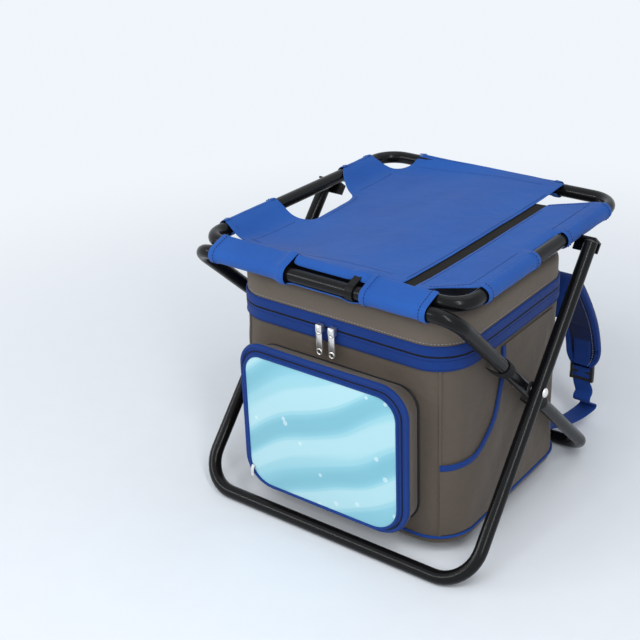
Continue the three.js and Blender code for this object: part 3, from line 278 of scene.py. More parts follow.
finishes = {
    "blue": woven("Royal blue cloth", (0.008, 0.050, 0.24), (0.026, 0.128, 0.47),
                  sheen=0.08, wrinkle=10.0),
    "navy": woven("Navy mesh", (0.003, 0.009, 0.05), (0.008, 0.022, 0.11),
                  sheen=0.1, pitch=0.0022, depth=0.7),
    "taupe": woven("Taupe cloth", (0.072, 0.058, 0.046), (0.122, 0.100, 0.082),
                   sheen=0.10, wrinkle=24.0),
    # This copy of the taupe cloth is painted lighter for the lid: painted light, as the lid's top
    # faces the lamps.
    "taupe painted lighter for the lid": woven("Lid cloth", (0.118, 0.096, 0.076), (0.180, 0.150, 0.122),
                       sheen=0.10, wrinkle=20.0),
    "black webbing": woven("Black webbing", (0.002, 0.002, 0.002), (0.007, 0.007, 0.007),
                           sheen=0.03, **STRAPPING),
    "webbing": woven("Blue webbing", (0.006, 0.030, 0.17), (0.014, 0.066, 0.31),
                     sheen=0.05, **STRAPPING),
    "tape": woven("Dark tape", (0.003, 0.0025, 0.0025), (0.009, 0.007, 0.006),
                  sheen=0.0, **STRAPPING),
    "zip blue": woven("Blue zip tape", (0.004, 0.024, 0.14), (0.010, 0.050, 0.25),
                      sheen=0.06, pitch=0.0009, depth=0.5),
    "taupe thread": woven("Taupe thread", (0.10, 0.085, 0.07), (0.16, 0.14, 0.12), **SEWING),
    "thread": woven("Pale thread", (0.30, 0.30, 0.33), (0.45, 0.46, 0.50), **SEWING),
    "blue thread": woven("Blue thread", (0.003, 0.011, 0.065), (0.005, 0.018, 0.10),
                         sheen=0.05, **SEWING),
}
print("cloth finishes:", len(finishes))

# %% [markdown]
# ## Painted steel, plated metal and plastic
# The tubes have a thick gloss black coat with the faint ripple of powder paint and thin
# rubs in it. The zip sliders and bolts are plated, with fine scratches. The buckles and
# end caps are moulded, with a matt grain.

# %% Hard finishes


def coated(name, colour, roughness, grain, metallic=0.0, coat=0.0, gloss=0.5):
    finish = Finish(name, colour, roughness, Metallic=metallic, Coat_Weight=coat,
                    Coat_Roughness=0.08, Specular_IOR_Level=gloss)
    ripple = finish.cloud(grain, 3.0)
    worn = finish.ramp(finish.cloud(70.0, 6.0), [(0.58, (0, 0, 0)), (0.72, (1, 1, 1))])
    rubs = finish.node("ShaderNodeRGBToBW", None, {0: worn})
    finish.feed("Roughness", roughness + ripple * 0.08 + rubs * 0.12)
    finish.bump(ripple, 0.05, 0.0002)
    return finish


finishes["paint"] = coated("Gloss black paint", (0.004, 0.004, 0.0045), 0.20, 300.0,
                           coat=0.05, gloss=0.16)
finishes["steel"] = coated("Plated metal", (0.80, 0.79, 0.77), 0.36, 900.0, metallic=1.0)
finishes["plastic"] = coated("Moulded black", (0.016, 0.016, 0.018), 0.42, 1500.0)
finishes["coil"] = coated("Zip coil", (0.005, 0.005, 0.007), 0.42, 800.0, gloss=0.3)
print("hard finishes:", "paint, steel, plastic, coil")

# %% [markdown]
# ## Printed pocket front and silver liner
# The pocket's front is a smooth printed panel. Its design here is a plain one: soft
# slanting bands in a few pale blues, with a scatter of small round dots. The liner is the
# crinkled silver film of any cooler bag.

# %% Print and liner
print_finish = Finish("Printed front", (0.31, 0.72, 0.83), 0.38, Sheen_Weight=0.08)
aside, _, tall = print_finish.axes(print_finish.places())
sway = print_finish.cloud(5.0, 1.0)
broad_band = (tall * 88.0 - aside * 52.0 + sway * 7.0).sine()
fine_band = (tall * 150.0 - aside * 96.0 + sway * 12.0).sine()
paint_bands = print_finish.ramp(broad_band * 0.36 + fine_band * 0.14 + 0.5, [
    (0.10, (0.175, 0.450, 0.550)),
    (0.42, (0.220, 0.510, 0.610)),
    (0.50, (0.280, 0.565, 0.650)),
    (0.62, (0.300, 0.580, 0.660)),
    (0.70, (0.385, 0.640, 0.700)),
])
spread = {"Vector": print_finish.places(), "Scale": 38.0, "Randomness": 1.0}
dots = print_finish.node("ShaderNodeTexVoronoi", {"feature": "F1"}, spread)
dotted = print_finish.tint((dots < 0.12) * 0.5, paint_bands, (0.66, 0.80, 0.82))
print_finish.feed("Base Color", dotted)
print_finish.bump(weave(print_finish, 0.0008), 0.12, 0.0002)
finishes["print"] = print_finish

liner = Finish("Silver film", (0.60, 0.62, 0.63), 0.28, Metallic=0.85)
liner.bump(liner.cloud(60.0, 6.0), 0.5, 0.002)
finishes["liner"] = liner
print("print and liner are ready")

# %% [markdown]
# ## Ways to make a piece
# Nearly every piece here is a sheet or a tube that follows a route. So the main helper
# starts from a grid primitive and moves its points, row by row, to their places. It also
# writes the UV map in metres. A sweep uses the same helper, with a section carried along
# a path as its rows. Modifiers then give walls and round the edges, and are applied.

# %% Selecting and applying


def pick(*pieces):
    """Select these pieces alone, the first of them active."""
    if bpy.context.object and bpy.context.object.mode != "OBJECT":
        leave()
    bpy.ops.object.select_all(action="DESELECT")
    for piece in pieces:
        piece.select_set(True)
    if pieces:
        bpy.context.view_layer.objects.active = pieces[0]


def enter(piece, action="SELECT"):
    """Edit one piece, with all of it selected or nothing."""
    pick(piece)
    bpy.ops.object.mode_set(mode="EDIT")
    bpy.ops.mesh.select_all(action=action)


def leave():
    """Go back to object mode."""
    bpy.ops.object.mode_set(mode="OBJECT")


def enter_faces(piece, chosen):
    """Edit one piece, with only the faces that pass a test selected."""
    enter(piece, "DESELECT")
    bpy.ops.mesh.select_mode(type="FACE")
    leave()
    for face in piece.data.polygons:
        face.select = chosen(face)
    bpy.ops.object.mode_set(mode="EDIT")


def turn_outwards():
    """Turn every face outwards, and leave edit mode."""
    bpy.ops.mesh.select_all(action="SELECT")
    bpy.ops.mesh.normals_make_consistent(inside=False)
    leave()


def weld(piece):
    """Merge what lies in one place, and turn the faces outwards."""
    enter(piece)
    bpy.ops.mesh.remove_doubles(threshold=0.00001)
    turn_outwards()


def close_ends(piece):
    """Fill every open edge loop."""
    enter(piece, "DESELECT")
    bpy.ops.mesh.select_mode(type="EDGE")
    bpy.ops.mesh.select_non_manifold(
        use_multi_face=False, use_non_contiguous=False, use_verts=False)
    bpy.ops.mesh.fill_holes(sides=0)
    turn_outwards()


def modify(piece, kind, **settings):
    """Add a modifier with these settings, and apply it."""
    pick(piece)
    modifier = piece.modifiers.new(kind.title(), kind)
    for name, value in settings.items():
        setattr(modifier, name, value)
    bpy.ops.object.modifier_apply(modifier=modifier.name)


def placed(name):
    """Name the newest piece, and write its place, turn and scale into its points."""
    piece = bpy.context.object
    piece.name = name
    bpy.ops.object.transform_apply(location=True, rotation=True, scale=True)
    return piece


def join(name, *pieces):
    """Join pieces into one."""
    pick(*pieces)
    bpy.ops.object.join()
    pieces[0].name = name
    pieces[0].data.name = name
    return pieces[0]


def dress(piece, finish, body, slot, *nodes, angle=45):
    """Give a piece its finish, its body and the solids that it stands for; the slot is not used."""
    pick(piece)
    bpy.ops.object.shade_smooth_by_angle(angle=math.radians(angle))
    piece.data.materials.clear()
    piece.data.materials.append(finishes[finish].material)
    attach(piece, body)
    if nodes:
        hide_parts(*nodes)
    return piece


print("selecting and applying are ready")

# %% Sheets and sweeps


def steps(places):
    """How far along a row of places each of them is, in metres."""
    far = [0.0]
    for before, after in zip(places, places[1:]):
        far.append(far[-1] + (after - before).length)
    return far


def sheet(name, rows):
    """A grid primitive with its points moved to rows of places."""
    pick()
    columns = len(rows[0])
    bpy.ops.mesh.primitive_grid_add(
        x_subdivisions=columns - 1, y_subdivisions=len(rows) - 1, size=1)
    piece = bpy.context.object
    piece.name = name
    piece.data.name = name
    places = [place for row in rows for place in row]
    for vertex, place in zip(piece.data.vertices, places):
        vertex.co = place
    across = steps(rows[len(rows) // 2])
    along = steps([row[columns // 2] for row in rows])
    for loop, corner in zip(piece.data.loops, piece.data.uv_layers.active.data):
        row, column = divmod(loop.vertex_index, columns)
        corner.uv = (across[column], along[row])
    return piece


def cloth(name, rows, wall=1.2, levels=1):
    """A sheet with a wall and rounded edges."""
    piece = sheet(name, rows)
    weld(piece)
    modify(piece, "SOLIDIFY", thickness=wall * MM, offset=0.0)
    if levels:
        modify(piece, "SUBSURF", levels=levels, render_levels=levels)
    return piece


def disc(radius, sides):
    """A round section, in metres."""
    turns = [2 * math.pi * step / sides for step in range(sides)]
    return [(radius * MM * math.cos(turn), radius * MM * math.sin(turn)) for turn in turns]


def strip(width, thickness):
    """A flat section with rounded edges, in metres."""
    half, thin = width / 2 * MM, thickness / 2 * MM
    edge = min(half, thin)
    spots = [(-1, 0), (-1 + 0.3 * edge / half, 0.7)]
    spots += [(share, 1) for share in (-1 + edge / half, -0.6, -0.2, 0.2, 0.6, 1 - edge / half)]
    spots += [(1 - 0.3 * edge / half, 0.7), (1, 0)]
    upper = [(share * half, rise * thin) for share, rise in spots]
    return upper + [(-a, -b) for a, b in upper[1:-1]]


def sweep(name, path, section, across, closed=False, widths=None):
    """Carry a section along a path, with its first axis kept near across."""
    count = len(path)
    rows = []
    widths = widths or [1.0] * count
    for index, place in enumerate(path):
        before = path[index - 1] if index or closed else place
        after = path[(index + 1) % count] if index < count - 1 or closed else place
        heading = (after - before).normalized()
        flat = across[index] if isinstance(across, list) else across
        side = (flat - heading * flat.dot(heading)).normalized()
        rise = heading.cross(side)
        row = [place + side * a * widths[index] + rise * b for a, b in section]
        rows.append(row + row[:1])
    if closed:
        rows.append(rows[0])
    piece = sheet(name, rows)
    weld(piece)
    if not closed:
        close_ends(piece)
    return piece


TUBE_SIDES = 24
BEND_STEPS = 10
ACROSS = Vector((1, 0, 0))
BACKWARDS = Vector((0, 1, 0))
UP = Vector((0, 0, 1))
SIDES = ((1, "right"), (-1, "left"))


def draw_out(move):
    """Extrude what is selected."""
    bpy.ops.mesh.extrude_region_move(TRANSFORM_OT_translate={"value": move})


def tube(name, corners, closed=False):
    """A circle extruded along straight runs and spun round the bends between them."""
    places = [place for place, _ in corners]
    ahead = corners[1:] if not closed else corners
    start = (places[0] + places[-1]) / 2 if closed else places[0]
    heading = ahead[0][0] - start
    pick()
    bpy.ops.mesh.primitive_circle_add(vertices=TUBE_SIDES, radius=TUBE * MM, location=start,
                                      rotation=heading.to_track_quat("Z", "Y").to_euler())
    piece = placed(name)
    piece.data.name = name
    enter(piece)
    here = start
    for (place, bend), (target, _) in zip(ahead, ahead[1:] + [(start, 0)]):
        if bend:
            before = (here - place).normalized()
            after = (target - place).normalized()
            half = before.angle(after) / 2
            reach = bend * MM / math.tan(half)
            centre = place + (before + after).normalized() * bend * MM / math.sin(half)
            draw_out(place + before * reach - here)
            bpy.ops.mesh.spin(steps=BEND_STEPS, angle=math.pi - 2 * half, center=centre,
                              axis=before.cross(after))
            here = place + after * reach
        else:
            draw_out(place - here)
            here = place
    if closed:
        draw_out(start - here)
    weld(piece)
    if not closed:
        close_ends(piece)
    return piece


def smoothed(places, parts):
    """More places on a smooth curve through the given ones."""
    made = []
    ends = [2 * places[0] - places[1]] + places + [2 * places[-1] - places[-2]]
    for index in range(1, len(ends) - 2):
        a, b, c, d = ends[index - 1 : index + 3]
        for step in range(parts):
            t = step / parts
            made.append(0.5 * (2 * b + (c - a) * t + (2 * a - 5 * b + 4 * c - d) * t * t
                               + (3 * b - a - 3 * c + d) * t ** 3))
    return made + [places[-1]]


print("sheets and sweeps are ready")

# %% [markdown]
# ## Tube frames
# The stool stands on two bent steel tubes of 16 mm. The inner one is a closed loop: its
# top rail carries the seat's front edge, and its low rail stands behind the bag. The outer
# one is a U that stands in front, and its ends reach up under the seat ring. A circle is
# extruded along each straight run and spun round each bend, as the real tube is bent, and
# that gives the even highlight of round tube.

# %% Inner frame, outer frame and seat ring
INNER_HALF = 171.5
INNER_TOP = (-198.0, 325.5)
INNER_FOOT = (134.0, TUBE)
OUTER_HALF = 190.0
OUTER_TOP = (68.0, 320.0)
OUTER_FOOT = (-196.0, TUBE)
RING_FRONT = (-RING_HALF_DEPTH, RING_HEIGHT)
RING_BACK = (RING_HALF_DEPTH, RING_HEIGHT)


def frame_corners(half, first, second):
    """Four corners across the stool; each of the two ends is a place and its bend's radius."""
    corners = (-half, first), (-half, second), (half, second), (half, first)
    return [(at(x, *place), bend) for x, (place, bend) in corners]


inner_corners = frame_corners(INNER_HALF, (INNER_FOOT, 40), (INNER_TOP, 26))
inner_frame = tube("inner_frame", inner_corners, closed=True)
dress(inner_frame, "paint", "bag_frame", "paint", "inner_frame_tube", angle=60)
outer_corners = frame_corners(OUTER_HALF, (OUTER_TOP, 0), (OUTER_FOOT, 44))
outer_frame = tube("outer_frame", outer_corners)
dress(outer_frame, "paint", "outer_legs", "paint", "outer_frame_tube", angle=60)
ring_corners = frame_corners(-RING_HALF_WIDTH, (RING_BACK, 32), (RING_FRONT, 26))
seat_ring = tube("seat_ring", ring_corners, closed=True)
dress(seat_ring, "paint", "seat", "paint", "seat_ring_tube", angle=60)
frames = (inner_frame, outer_frame, seat_ring)
print("frame faces:", sum(len(piece.data.polygons) for piece in frames))

# %% Finish of the small fittings that keep their solids
for side_name in ("left", "right"):
    for node, finish in (
        ("leg_end_cap_", "plastic"),
        ("pivot_washer_", "plastic"),
        ("seat_stop_", "paint"),
        ("seat_hinge_clip_", "paint"),
        ("pivot_bolt_", "steel"),
    ):
        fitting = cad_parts[node + side_name]
        fitting.data.materials.clear()
        fitting.data.materials.append(finishes[finish].material)
print("fittings keep their solids")

# %% [markdown]
# ## Seat cloth
# The seat is flat cloth held on the ring by sewn sleeves. The large panel is on the left,
# a narrower strip on the right, and a dark tape shows in the slot between them. The panel's
# free edge on the left is cut in a hollow curve, and the cloth sags along it. Each sleeve
# is the same cloth carried on round the tube and under, so sleeve and panel meet along the
# tube's top line. A small uneven pull gives the tight wrinkles that run from sewn corners.

# %% The seat's height and its panel
SLEEVE = 9.1
SEAT_TOP = RING_HEIGHT + SLEEVE
HOLLOW = 3.5
SAG = 17.0
TUCK = 3.4
CLIPS_X = (-41.0, 49.0)
CLIP_WIDTH = 8
PANEL_RIGHT = 99.0
STRIP_LEFT = 113.0
LEFT_SLEEVES = ((-148.0, -57.0), (80.0, 143.0))
RIGHT_SLEEVES = ((-146.0, -35.0), (30.0, 144.0))
FRONT_HALF = 143.0
BACK_SPAN = (-118.0, 94.0)
WINDOW = (-35.0, 62.0)


def span(low, high, count):
    """Evenly spaced values, both ends included."""
    return [low + (high - low) * step / count for step in range(count + 1)]


def ripple(x, y, scale, seed):
    return noise.noise(Vector((x * scale, y * scale, seed)))


def ease(low, high, value):
    """0 below low, 1 above high, and smooth between them."""
    share = min(1.0, max(0.0, (value - low) / (high - low)))
    return share * share * (3 - 2 * share)


def over_clips(x):
    """1 over a hinge clip, which lifts the cloth a little, and 0 away from both."""
    return sum(math.exp(-((x - middle) / CLIP_WIDTH) ** 4) for middle in CLIPS_X)


def seat_height(x, y):
    """The cloth's height: tight at the tubes, hollow in the middle and along the left."""
    inside = max(0.0, 1 - (x / 168) ** 4) * max(0.0, 1 - (y / 178) ** 4)
    valley = ease(-171, -143, x) * (1 - ease(-126, 50, x)) * max(0.0, 1 - (y / 181) ** 10)
    pull = 0.8 * ripple(x, y * 0.35, 0.035, 3.0) + 0.4 * ripple(x * 0.5, y, 0.09, 8.0)
    lift = 1.6 * over_clips(x) * ease(-166, -180, y)
    tuck = TUCK * ease(152, 164, x) * ease(-38, -28, y) * (1 - ease(22, 32, y))
    return SEAT_TOP - HOLLOW * inside - SAG * valley + pull * min(1.0, 4 * inside) + lift - tuck


def between_marks(marks, value):
    """Read a value off a list of (place, value) marks, with straight runs between."""
    for (near, first), (far, second) in zip(marks, marks[1:]):
        if value <= far:
            return first + (second - first) * max(0.0, (value - near) / (far - near))
    return marks[-1][1]


PANEL_LEFT = [
    (-181, -113), (-168, -113), (-161, -115), (-156, -121), (-153, -131), (-151, -146),
    (-149.5, -160), (-148, -170.5),
    (-57, -170.5), (-56.5, -157), (-56, -140), (-54, -128), (-50, -121), (-40, -119), (0, -121),
    (28, -124), (40, -127), (47, -133), (53, -142), (59, -151), (66, -160), (74, -167),
    (80, -170.5), (143, -170.5), (144.5, -160), (147, -146), (151, -134), (157, -126), (166, -120),
    (181, -118),
]


def panel_left(y):
    """The panel's left edge: on the tube at its two wraps, hollow between them."""
    return between_marks(PANEL_LEFT, y)


def flat_rows(rows_y, left, right, columns):
    """Rows of the seat's surface between two edges."""
    return [[at(x, y, seat_height(x, y)) for x in span(left(y), right(y), columns)] for y in rows_y]


panel_y = sorted(
    {y for y, _ in PANEL_LEFT}
    | set(span(-147, -58, 10)) | set(span(-28, 24, 6)) | set(span(81, 142, 7))
    | {-174, -164.5, -158, -154.5, -152, -150.2, -148.7, -56.7, -56.3, -55, -52, -45}
    | {43.5, 50, 56, 62.5, 70, 77, 172})
seat_panel = cloth("seat_panel", flat_rows(panel_y, panel_left, lambda y: PANEL_RIGHT, 34), 1.4)
print("panel:", len(seat_panel.data.polygons), "faces")

# %% Sleeves round the tubes
HEM = 9.0
STATION = 6
WRAP = span(100, -165, 22)


def turned(reach, turn):
    """How far out and how far up a reach goes at a turn, in degrees."""
    return reach * math.cos(math.radians(turn)), reach * math.sin(math.radians(turn))


def side_rail(side):
    """Places by a side rail of the ring, from how far out, along and up they are."""
    return lambda out, along, up: at(side * (RING_HALF_WIDTH + out), along, RING_HEIGHT + up)


def back_rail(out, along, up):
    """The same for the ring's back rail."""
    return at(along, RING_HALF_DEPTH + out, RING_HEIGHT + up)


def hem_swell(place, ends):
    """A folded hem is a second layer of cloth near each end of a sleeve."""
    near = min(abs(place - end) for end in ends)
    return 0.9 if near < HEM else 0.0


def stations(low, high, ends):
    """Places along a sleeve, closer together where the hem steps down."""
    marks = set(span(low, high, max(2, round((high - low) / STATION))))
    for end in ends:
        turn = 1 if end <= low + 1 else -1
        marks |= {end + turn * (HEM - 0.1), end + turn * (HEM + 0.8)}
    return sorted(mark for mark in marks if low <= mark <= high)


def sleeve(name, rail, low, high, seed):
    """Cloth from the seat over a rail of the ring, under it and back to the seat."""
    rows = []
    for along in stations(low, high, (low, high)):
        row = []
        for turn in WRAP:
            wrinkle = 0.5 * ripple(along, turn * 0.4, 0.05, seed)
            out, up = turned(SLEEVE + hem_swell(along, (low, high)) + wrinkle, turn)
            row.append(rail(out, along, up))
        rows.append(row + [rail(-15, along, -1)])
    return cloth(name, rows)


# A belt is a list of (y, z, turn): a tube's middle, and where the cloth is round that tube.
BELT_SLOPE = math.atan2(RING_FRONT[1] - INNER_TOP[1], RING_FRONT[0] - INNER_TOP[0])
BELT_TURN = math.degrees(BELT_SLOPE) + 90
BELT = [(*RING_FRONT, turn) for turn in (80, 95, BELT_TURN)]
BELT += [(*INNER_TOP, turn) for turn in span(BELT_TURN, BELT_TURN + 180, 16)]
BELT += [(*RING_FRONT, turn) for turn in (BELT_TURN + 180, BELT_TURN + 200, 335)]


def front_sleeve(name, low, high, belt=BELT, ends=None):
    """One belt of cloth round the seat ring's front and the inner frame's top rail."""
    ends = ends or (low, high)
    rows = []
    for x in stations(low, high, ends):
        row = []
        for y, z, turn in belt:
            reach = SLEEVE + hem_swell(x, ends) + 0.4 * ripple(x, turn * 0.3, 0.06, 9.0)
            out, up = turned(reach + 2.3 * over_clips(x), turn)
            row.append(at(x, y + out, z + up))
        rows.append(row)
    return cloth(name, rows)


LOW_BELT = [spot for spot in BELT if spot[2] > 222]
TOP_BELT = BELT[:3] + [(-184.7, 329.4, BELT_TURN), (-187.7, 325.8, BELT_TURN)]
NO_HEM = (-999, 999)
seat_main = join(
    "seat_main_cloth",
    seat_panel,
    *(sleeve("left_sleeve", side_rail(-1), low, high, -1) for low, high in LEFT_SLEEVES),
    sleeve("back_sleeve", back_rail, *BACK_SPAN, 5.0),
    front_sleeve("front_left_sleeve", -FRONT_HALF, WINDOW[0]),
    front_sleeve("front_right_sleeve", WINDOW[1], FRONT_HALF),
    front_sleeve("front_window_low", *WINDOW, LOW_BELT, NO_HEM),
    front_sleeve("front_window_top", *WINDOW, TOP_BELT, NO_HEM),
)
dress(seat_main, "blue", "seat", "blue", "seat_main_panel", angle=60)
print("main cloth:", len(seat_main.data.polygons), "faces")

# %% The narrow strip and the tape in the slot
TAPE_DROP = 1.6
STRIP_RIGHT = [
    (-181, 127), (-175, 130), (-168, 137), (-160, 149), (-152, 163), (-146, 170.5),
    (-35, 170.5), (-33, 167), (-29, 165), (24, 165), (28, 167), (30, 170.5), (144, 170.5),
]


def strip_left(y):
    """The strip's left edge: along the slot, and slanting to the tube at the back."""
    return STRIP_LEFT + max(0.0, (y - 108) / 36) * (RING_HALF_WIDTH - 8 - STRIP_LEFT)


def strip_right(y):
    """The strip's right edge: on the tube at its sleeves, inside it in the window."""
    return between_marks(STRIP_RIGHT, y)


strip_y = sorted({y for y, _ in STRIP_RIGHT} | set(span(-140, -42, 14)) | set(span(-22, 18, 5))
                 | set(span(37, 138, 14)) | {-178, -171, -164, -156, -149, 108})
side_cloth = join(
    "seat_side_cloth",
    cloth("strip_panel", flat_rows(strip_y, strip_left, strip_right, 10), 1.4),
    *(sleeve("right_sleeve", side_rail(1), low, high, 1) for low, high in RIGHT_SLEEVES),
)
dress(side_cloth, "blue", "seat", "blue", "seat_side_strip", angle=60)

# Each cut is worked out from the flat plan and the wraps' lengths, apart from the mesh, and
# is printed beside the area that the finished cloth measures.
for piece, width, length, cut_area in (
    (seat_main, 0.318, 0.487, 0.1260),
    (side_cloth, 0.106, 0.325, 0.0275),
):
    one_side = sum(face.area for face in piece.data.polygons) / 2
    print(piece.name, "is cut to", cut_area, "square metres, and measures", round(one_side, 4))

tape_rows = [[at(x, y, seat_height(x, y) - TAPE_DROP) for x in span(92, 120, 6)]
             for y in span(-179, 108, 32)]
slot_tape = cloth("seat_slot_webbing", tape_rows, 1.2, 0)
dress(slot_tape, "tape", "seat", "plastic", "seat_slot_tape")
print("strip and slot tape are on the seat")

# %% [markdown]
# ## Stitching
# Every hem shows a line of lock stitches. One stitch is a small bead, drawn out along the
# seam and pressed into the cloth. A line of them is one mesh, made by copying that bead's
# points along the seam.

# %% Stitches
pick()
bpy.ops.mesh.primitive_uv_sphere_add(segments=6, ring_count=4, radius=1)
bead = bpy.context.object
bead_points = [vertex.co.copy() for vertex in bead.data.vertices]
bead_faces = [tuple(face.vertices) for face in bead.data.polygons]
bpy.data.objects.remove(bead)


def stitches(name, lines, body, slot, finish, pitch=3.6, length=2.6, thick=0.42, nodes=()):
    """Beads set along lines of places; each line is a list of places."""
    points, faces = [], []
    for line in lines:
        far = steps(line)
        count = max(1, round(far[-1] / (pitch * MM)))
        index = 0
        for number in range(count):
            spot = (number + 0.5) / count * far[-1]
            while index < len(far) - 2 and far[index + 1] < spot:
                index += 1
            gap = far[index + 1] - far[index]
            place = line[index].lerp(line[index + 1], (spot - far[index]) / gap if gap else 0)
            heading = (line[index + 1] - line[index]).normalized()
            side = heading.orthogonal().normalized()
            rise = heading.cross(side)
            start = len(points)
            for point in bead_points:
                points.append(place + heading * point.z * length / 2 * MM
                              + side * point.x * thick * MM + rise * point.y * thick * MM)
            faces += [tuple(start + corner for corner in face) for face in bead_faces]
    mesh = bpy.data.meshes.new(name)
    mesh.from_pydata(points, [], faces)
    mesh.update()
    piece = bpy.data.objects.new(name, mesh)
    bpy.context.collection.objects.link(piece)
    return dress(piece, finish, body, slot, *nodes, angle=80)


def on_seat(spots):
    """A seam's places, laid on top of the seat's cloth."""
    line = []
    for (x0, y0), (x1, y1) in zip(spots, spots[1:]):
        for share in span(0, 1, 14)[:-1]:
            x, y = x0 + (x1 - x0) * share, y0 + (y1 - y0) * share
            line.append(at(x, y, seat_height(x, y) + SEAM_LIFT))
    return line


SEAM_LIFT = 0.75
SLEEVE_SEAM = SLEEVE + 1.7
HEM_SEAM = HEM - 1.5


def over_rail(rail, along):
    """A seam across a sleeve, from the seat round to the outside."""
    spots = [turned(SLEEVE_SEAM, turn) for turn in span(92, -100, 24)]
    return [rail(out, along, up) for out, up in spots]


def over_front(x):
    """A seam across the front's belt of cloth."""
    spots = [(y, z, turned(SLEEVE_SEAM, turn)) for y, z, turn in BELT[:-3]]
    return [at(x, y + out, z + up) for y, z, (out, up) in spots]


seams = [on_seat(spots) for spots in (
    [(-138, -166), (94, -166)],
    [(-112, 163), (90, 163)],
    [(95, -168), (95, 160)],
    [(panel_left(y) + 7, y) for y in panel_y if -50 < y < 44],
    [(-132, -146), (-132, -62)],
    [(-132, 62), (-132, 140)],
    [(-160, -142), (-140, -142), (-118, -146)],
    [(117, -174), (117, 106)],
    [(126, -174), (158, -146), (158, -40)],
    [(157, 34), (157, 138)],
    [(116, 104), (160, 135)],
)]
for side, sleeves in ((-1, LEFT_SLEEVES), (1, RIGHT_SLEEVES)):
    for low, high in sleeves:
        seams += [over_rail(side_rail(side), y) for y in (low + HEM_SEAM, high - HEM_SEAM)]
for low, high in ((-FRONT_HALF, WINDOW[0]), (WINDOW[1], FRONT_HALF)):
    seams += [over_front(x) for x in (low + HEM_SEAM, high - HEM_SEAM)]
seams += [over_rail(back_rail, x) for x in (BACK_SPAN[0] + HEM_SEAM, BACK_SPAN[1] - HEM_SEAM)]
seat_seams = stitches("seat_stitching", seams, "seat", "blue", "blue thread")
print("seat stitches:", len(seat_seams.data.polygons) // len(bead_faces))

# %% [markdown]
# ## Cooler bag
# The bag is a soft box of thick cloth with a foam layer. Its plan is a rounded rectangle,
# and its walls crease a little, more half way up than at the stiff zip and base. One
# function gives every place on the wall, with its creases, so that the seams, zip tapes,
# pockets and piping that are sewn on all follow the same wall.

# %% The wall's plan
BAG_X = 150.5
BAG_FRONT = -166.0
BAG_REAR = 104.0
BAG_CORNER = 46.0
BAG_FLOOR = 19.0
BAG_TOP = 255.8
LID_TOP = 297.0
BAG_MIDDLE = (BAG_FRONT + BAG_REAR) / 2
BAG_Y = (BAG_REAR - BAG_FRONT) / 2
ARC = math.pi / 2 * BAG_CORNER
WIDE = 2 * (BAG_X - BAG_CORNER)
DEEP = 2 * (BAG_Y - BAG_CORNER)
AROUND = 2 * WIDE + 2 * DEEP + 4 * ARC


def round_corner(middle_y, facing):
    """A place on a corner's arc, and the way that it faces."""
    return (WIDE / 2 + BAG_CORNER * facing[0], middle_y + BAG_CORNER * facing[1]), facing


def plan(far):
    """A place on the bag's plan and the way it faces, from the front's middle anticlockwise."""
    far = far % AROUND
    if far > AROUND / 2:
        (x, y), (nx, ny) = plan(AROUND - far)
        return (-x, y), (-nx, ny)
    if far < WIDE / 2:
        return (far, BAG_FRONT), (0.0, -1.0)
    far -= WIDE / 2
    if far < ARC:
        turn = far / BAG_CORNER
        return round_corner(BAG_MIDDLE - DEEP / 2, (math.sin(turn), -math.cos(turn)))
    far -= ARC
    if far < DEEP:
        return (BAG_X, BAG_MIDDLE - DEEP / 2 + far), (1.0, 0.0)
    far -= DEEP
    if far < ARC:
        turn = far / BAG_CORNER
        return round_corner(BAG_MIDDLE + DEEP / 2, (math.cos(turn), math.sin(turn)))
    far -= ARC
    return (WIDE / 2 - far, BAG_REAR), (0.0, 1.0)


def crease(far, z):
    """How far the cloth stands out of the plain wall."""
    loose = ease(34, 80, z) * (1 - ease(196, 238, z))
    spot = math.sin(2 * math.pi * far / AROUND) * 90, math.cos(2 * math.pi * far / AROUND) * 90
    folds = 3.6 * noise.noise(Vector((spot[0] * 0.055, spot[1] * 0.055, z * 0.006)))
    fine = 1.4 * noise.noise(Vector((spot[0] * 0.12 + z * 0.01, spot[1] * 0.12, z * 0.022)))
    return (folds + fine) * loose


def on_wall(far, z, out):
    """A place on the creased wall, or some way out of it."""
    (x, y), facing = plan(far)
    reach = out + crease(far, z)
    return at(x + facing[0] * reach, y + facing[1] * reach, z)


def right_side(y):
    """How far round the plan a place on the right side's straight wall is."""
    return WIDE / 2 + ARC + y - (BAG_MIDDLE - DEEP / 2)


around = span(0, AROUND, 210)
print("round the bag:", round(AROUND), "mm")

# %% Bag shell


def inside_plan(share, z, loose=0.0):
    """A ring inside the plan, for a floor or a top: share 0 is its middle."""
    row = []
    for far in around:
        (x, y), _ = plan(far)
        rise = loose * (0.9 * ripple(x * share, y * share, 0.02, 4.0) - 2.4 * (1 - share ** 4))
        row.append(at(x * share, BAG_MIDDLE + (y - BAG_MIDDLE) * share, z + rise))
    return row


def wall_ring(z, out):
    return [on_wall(far, z, out) for far in around]


SHELL_OUT = -0.7
shell_rows = [inside_plan(share, BAG_FLOOR + 0.8) for share in (0.0, 0.3, 0.6, 0.85, 0.97)]
shell_rows += [wall_ring(21.2, -1.6), wall_ring(25, SHELL_OUT)]
shell_rows += [wall_ring(z, SHELL_OUT) for z in span(30, BAG_TOP - 0.4, 36)]
bag_shell = cloth("bag_cloth", shell_rows, 1.4, 0)
dress(bag_shell, "taupe", "bag_frame", "taupe", "bag_shell", angle=50)

liner_rows = [inside_plan(share, 23.6) for share in (0.0, 0.3, 0.6, 0.85, 0.95)]
liner_rows += [wall_ring(27, -4.6)] + [wall_ring(z, -3.2) for z in span(32, BAG_TOP - 2, 30)]
bag_liner = cloth("bag_lining", liner_rows, 1.0, 0)
dress(bag_liner, "liner", "bag_frame", "liner", "bag_liner", angle=50)
print("bag faces:", len(bag_shell.data.polygons))

# %% Seams down the four corners


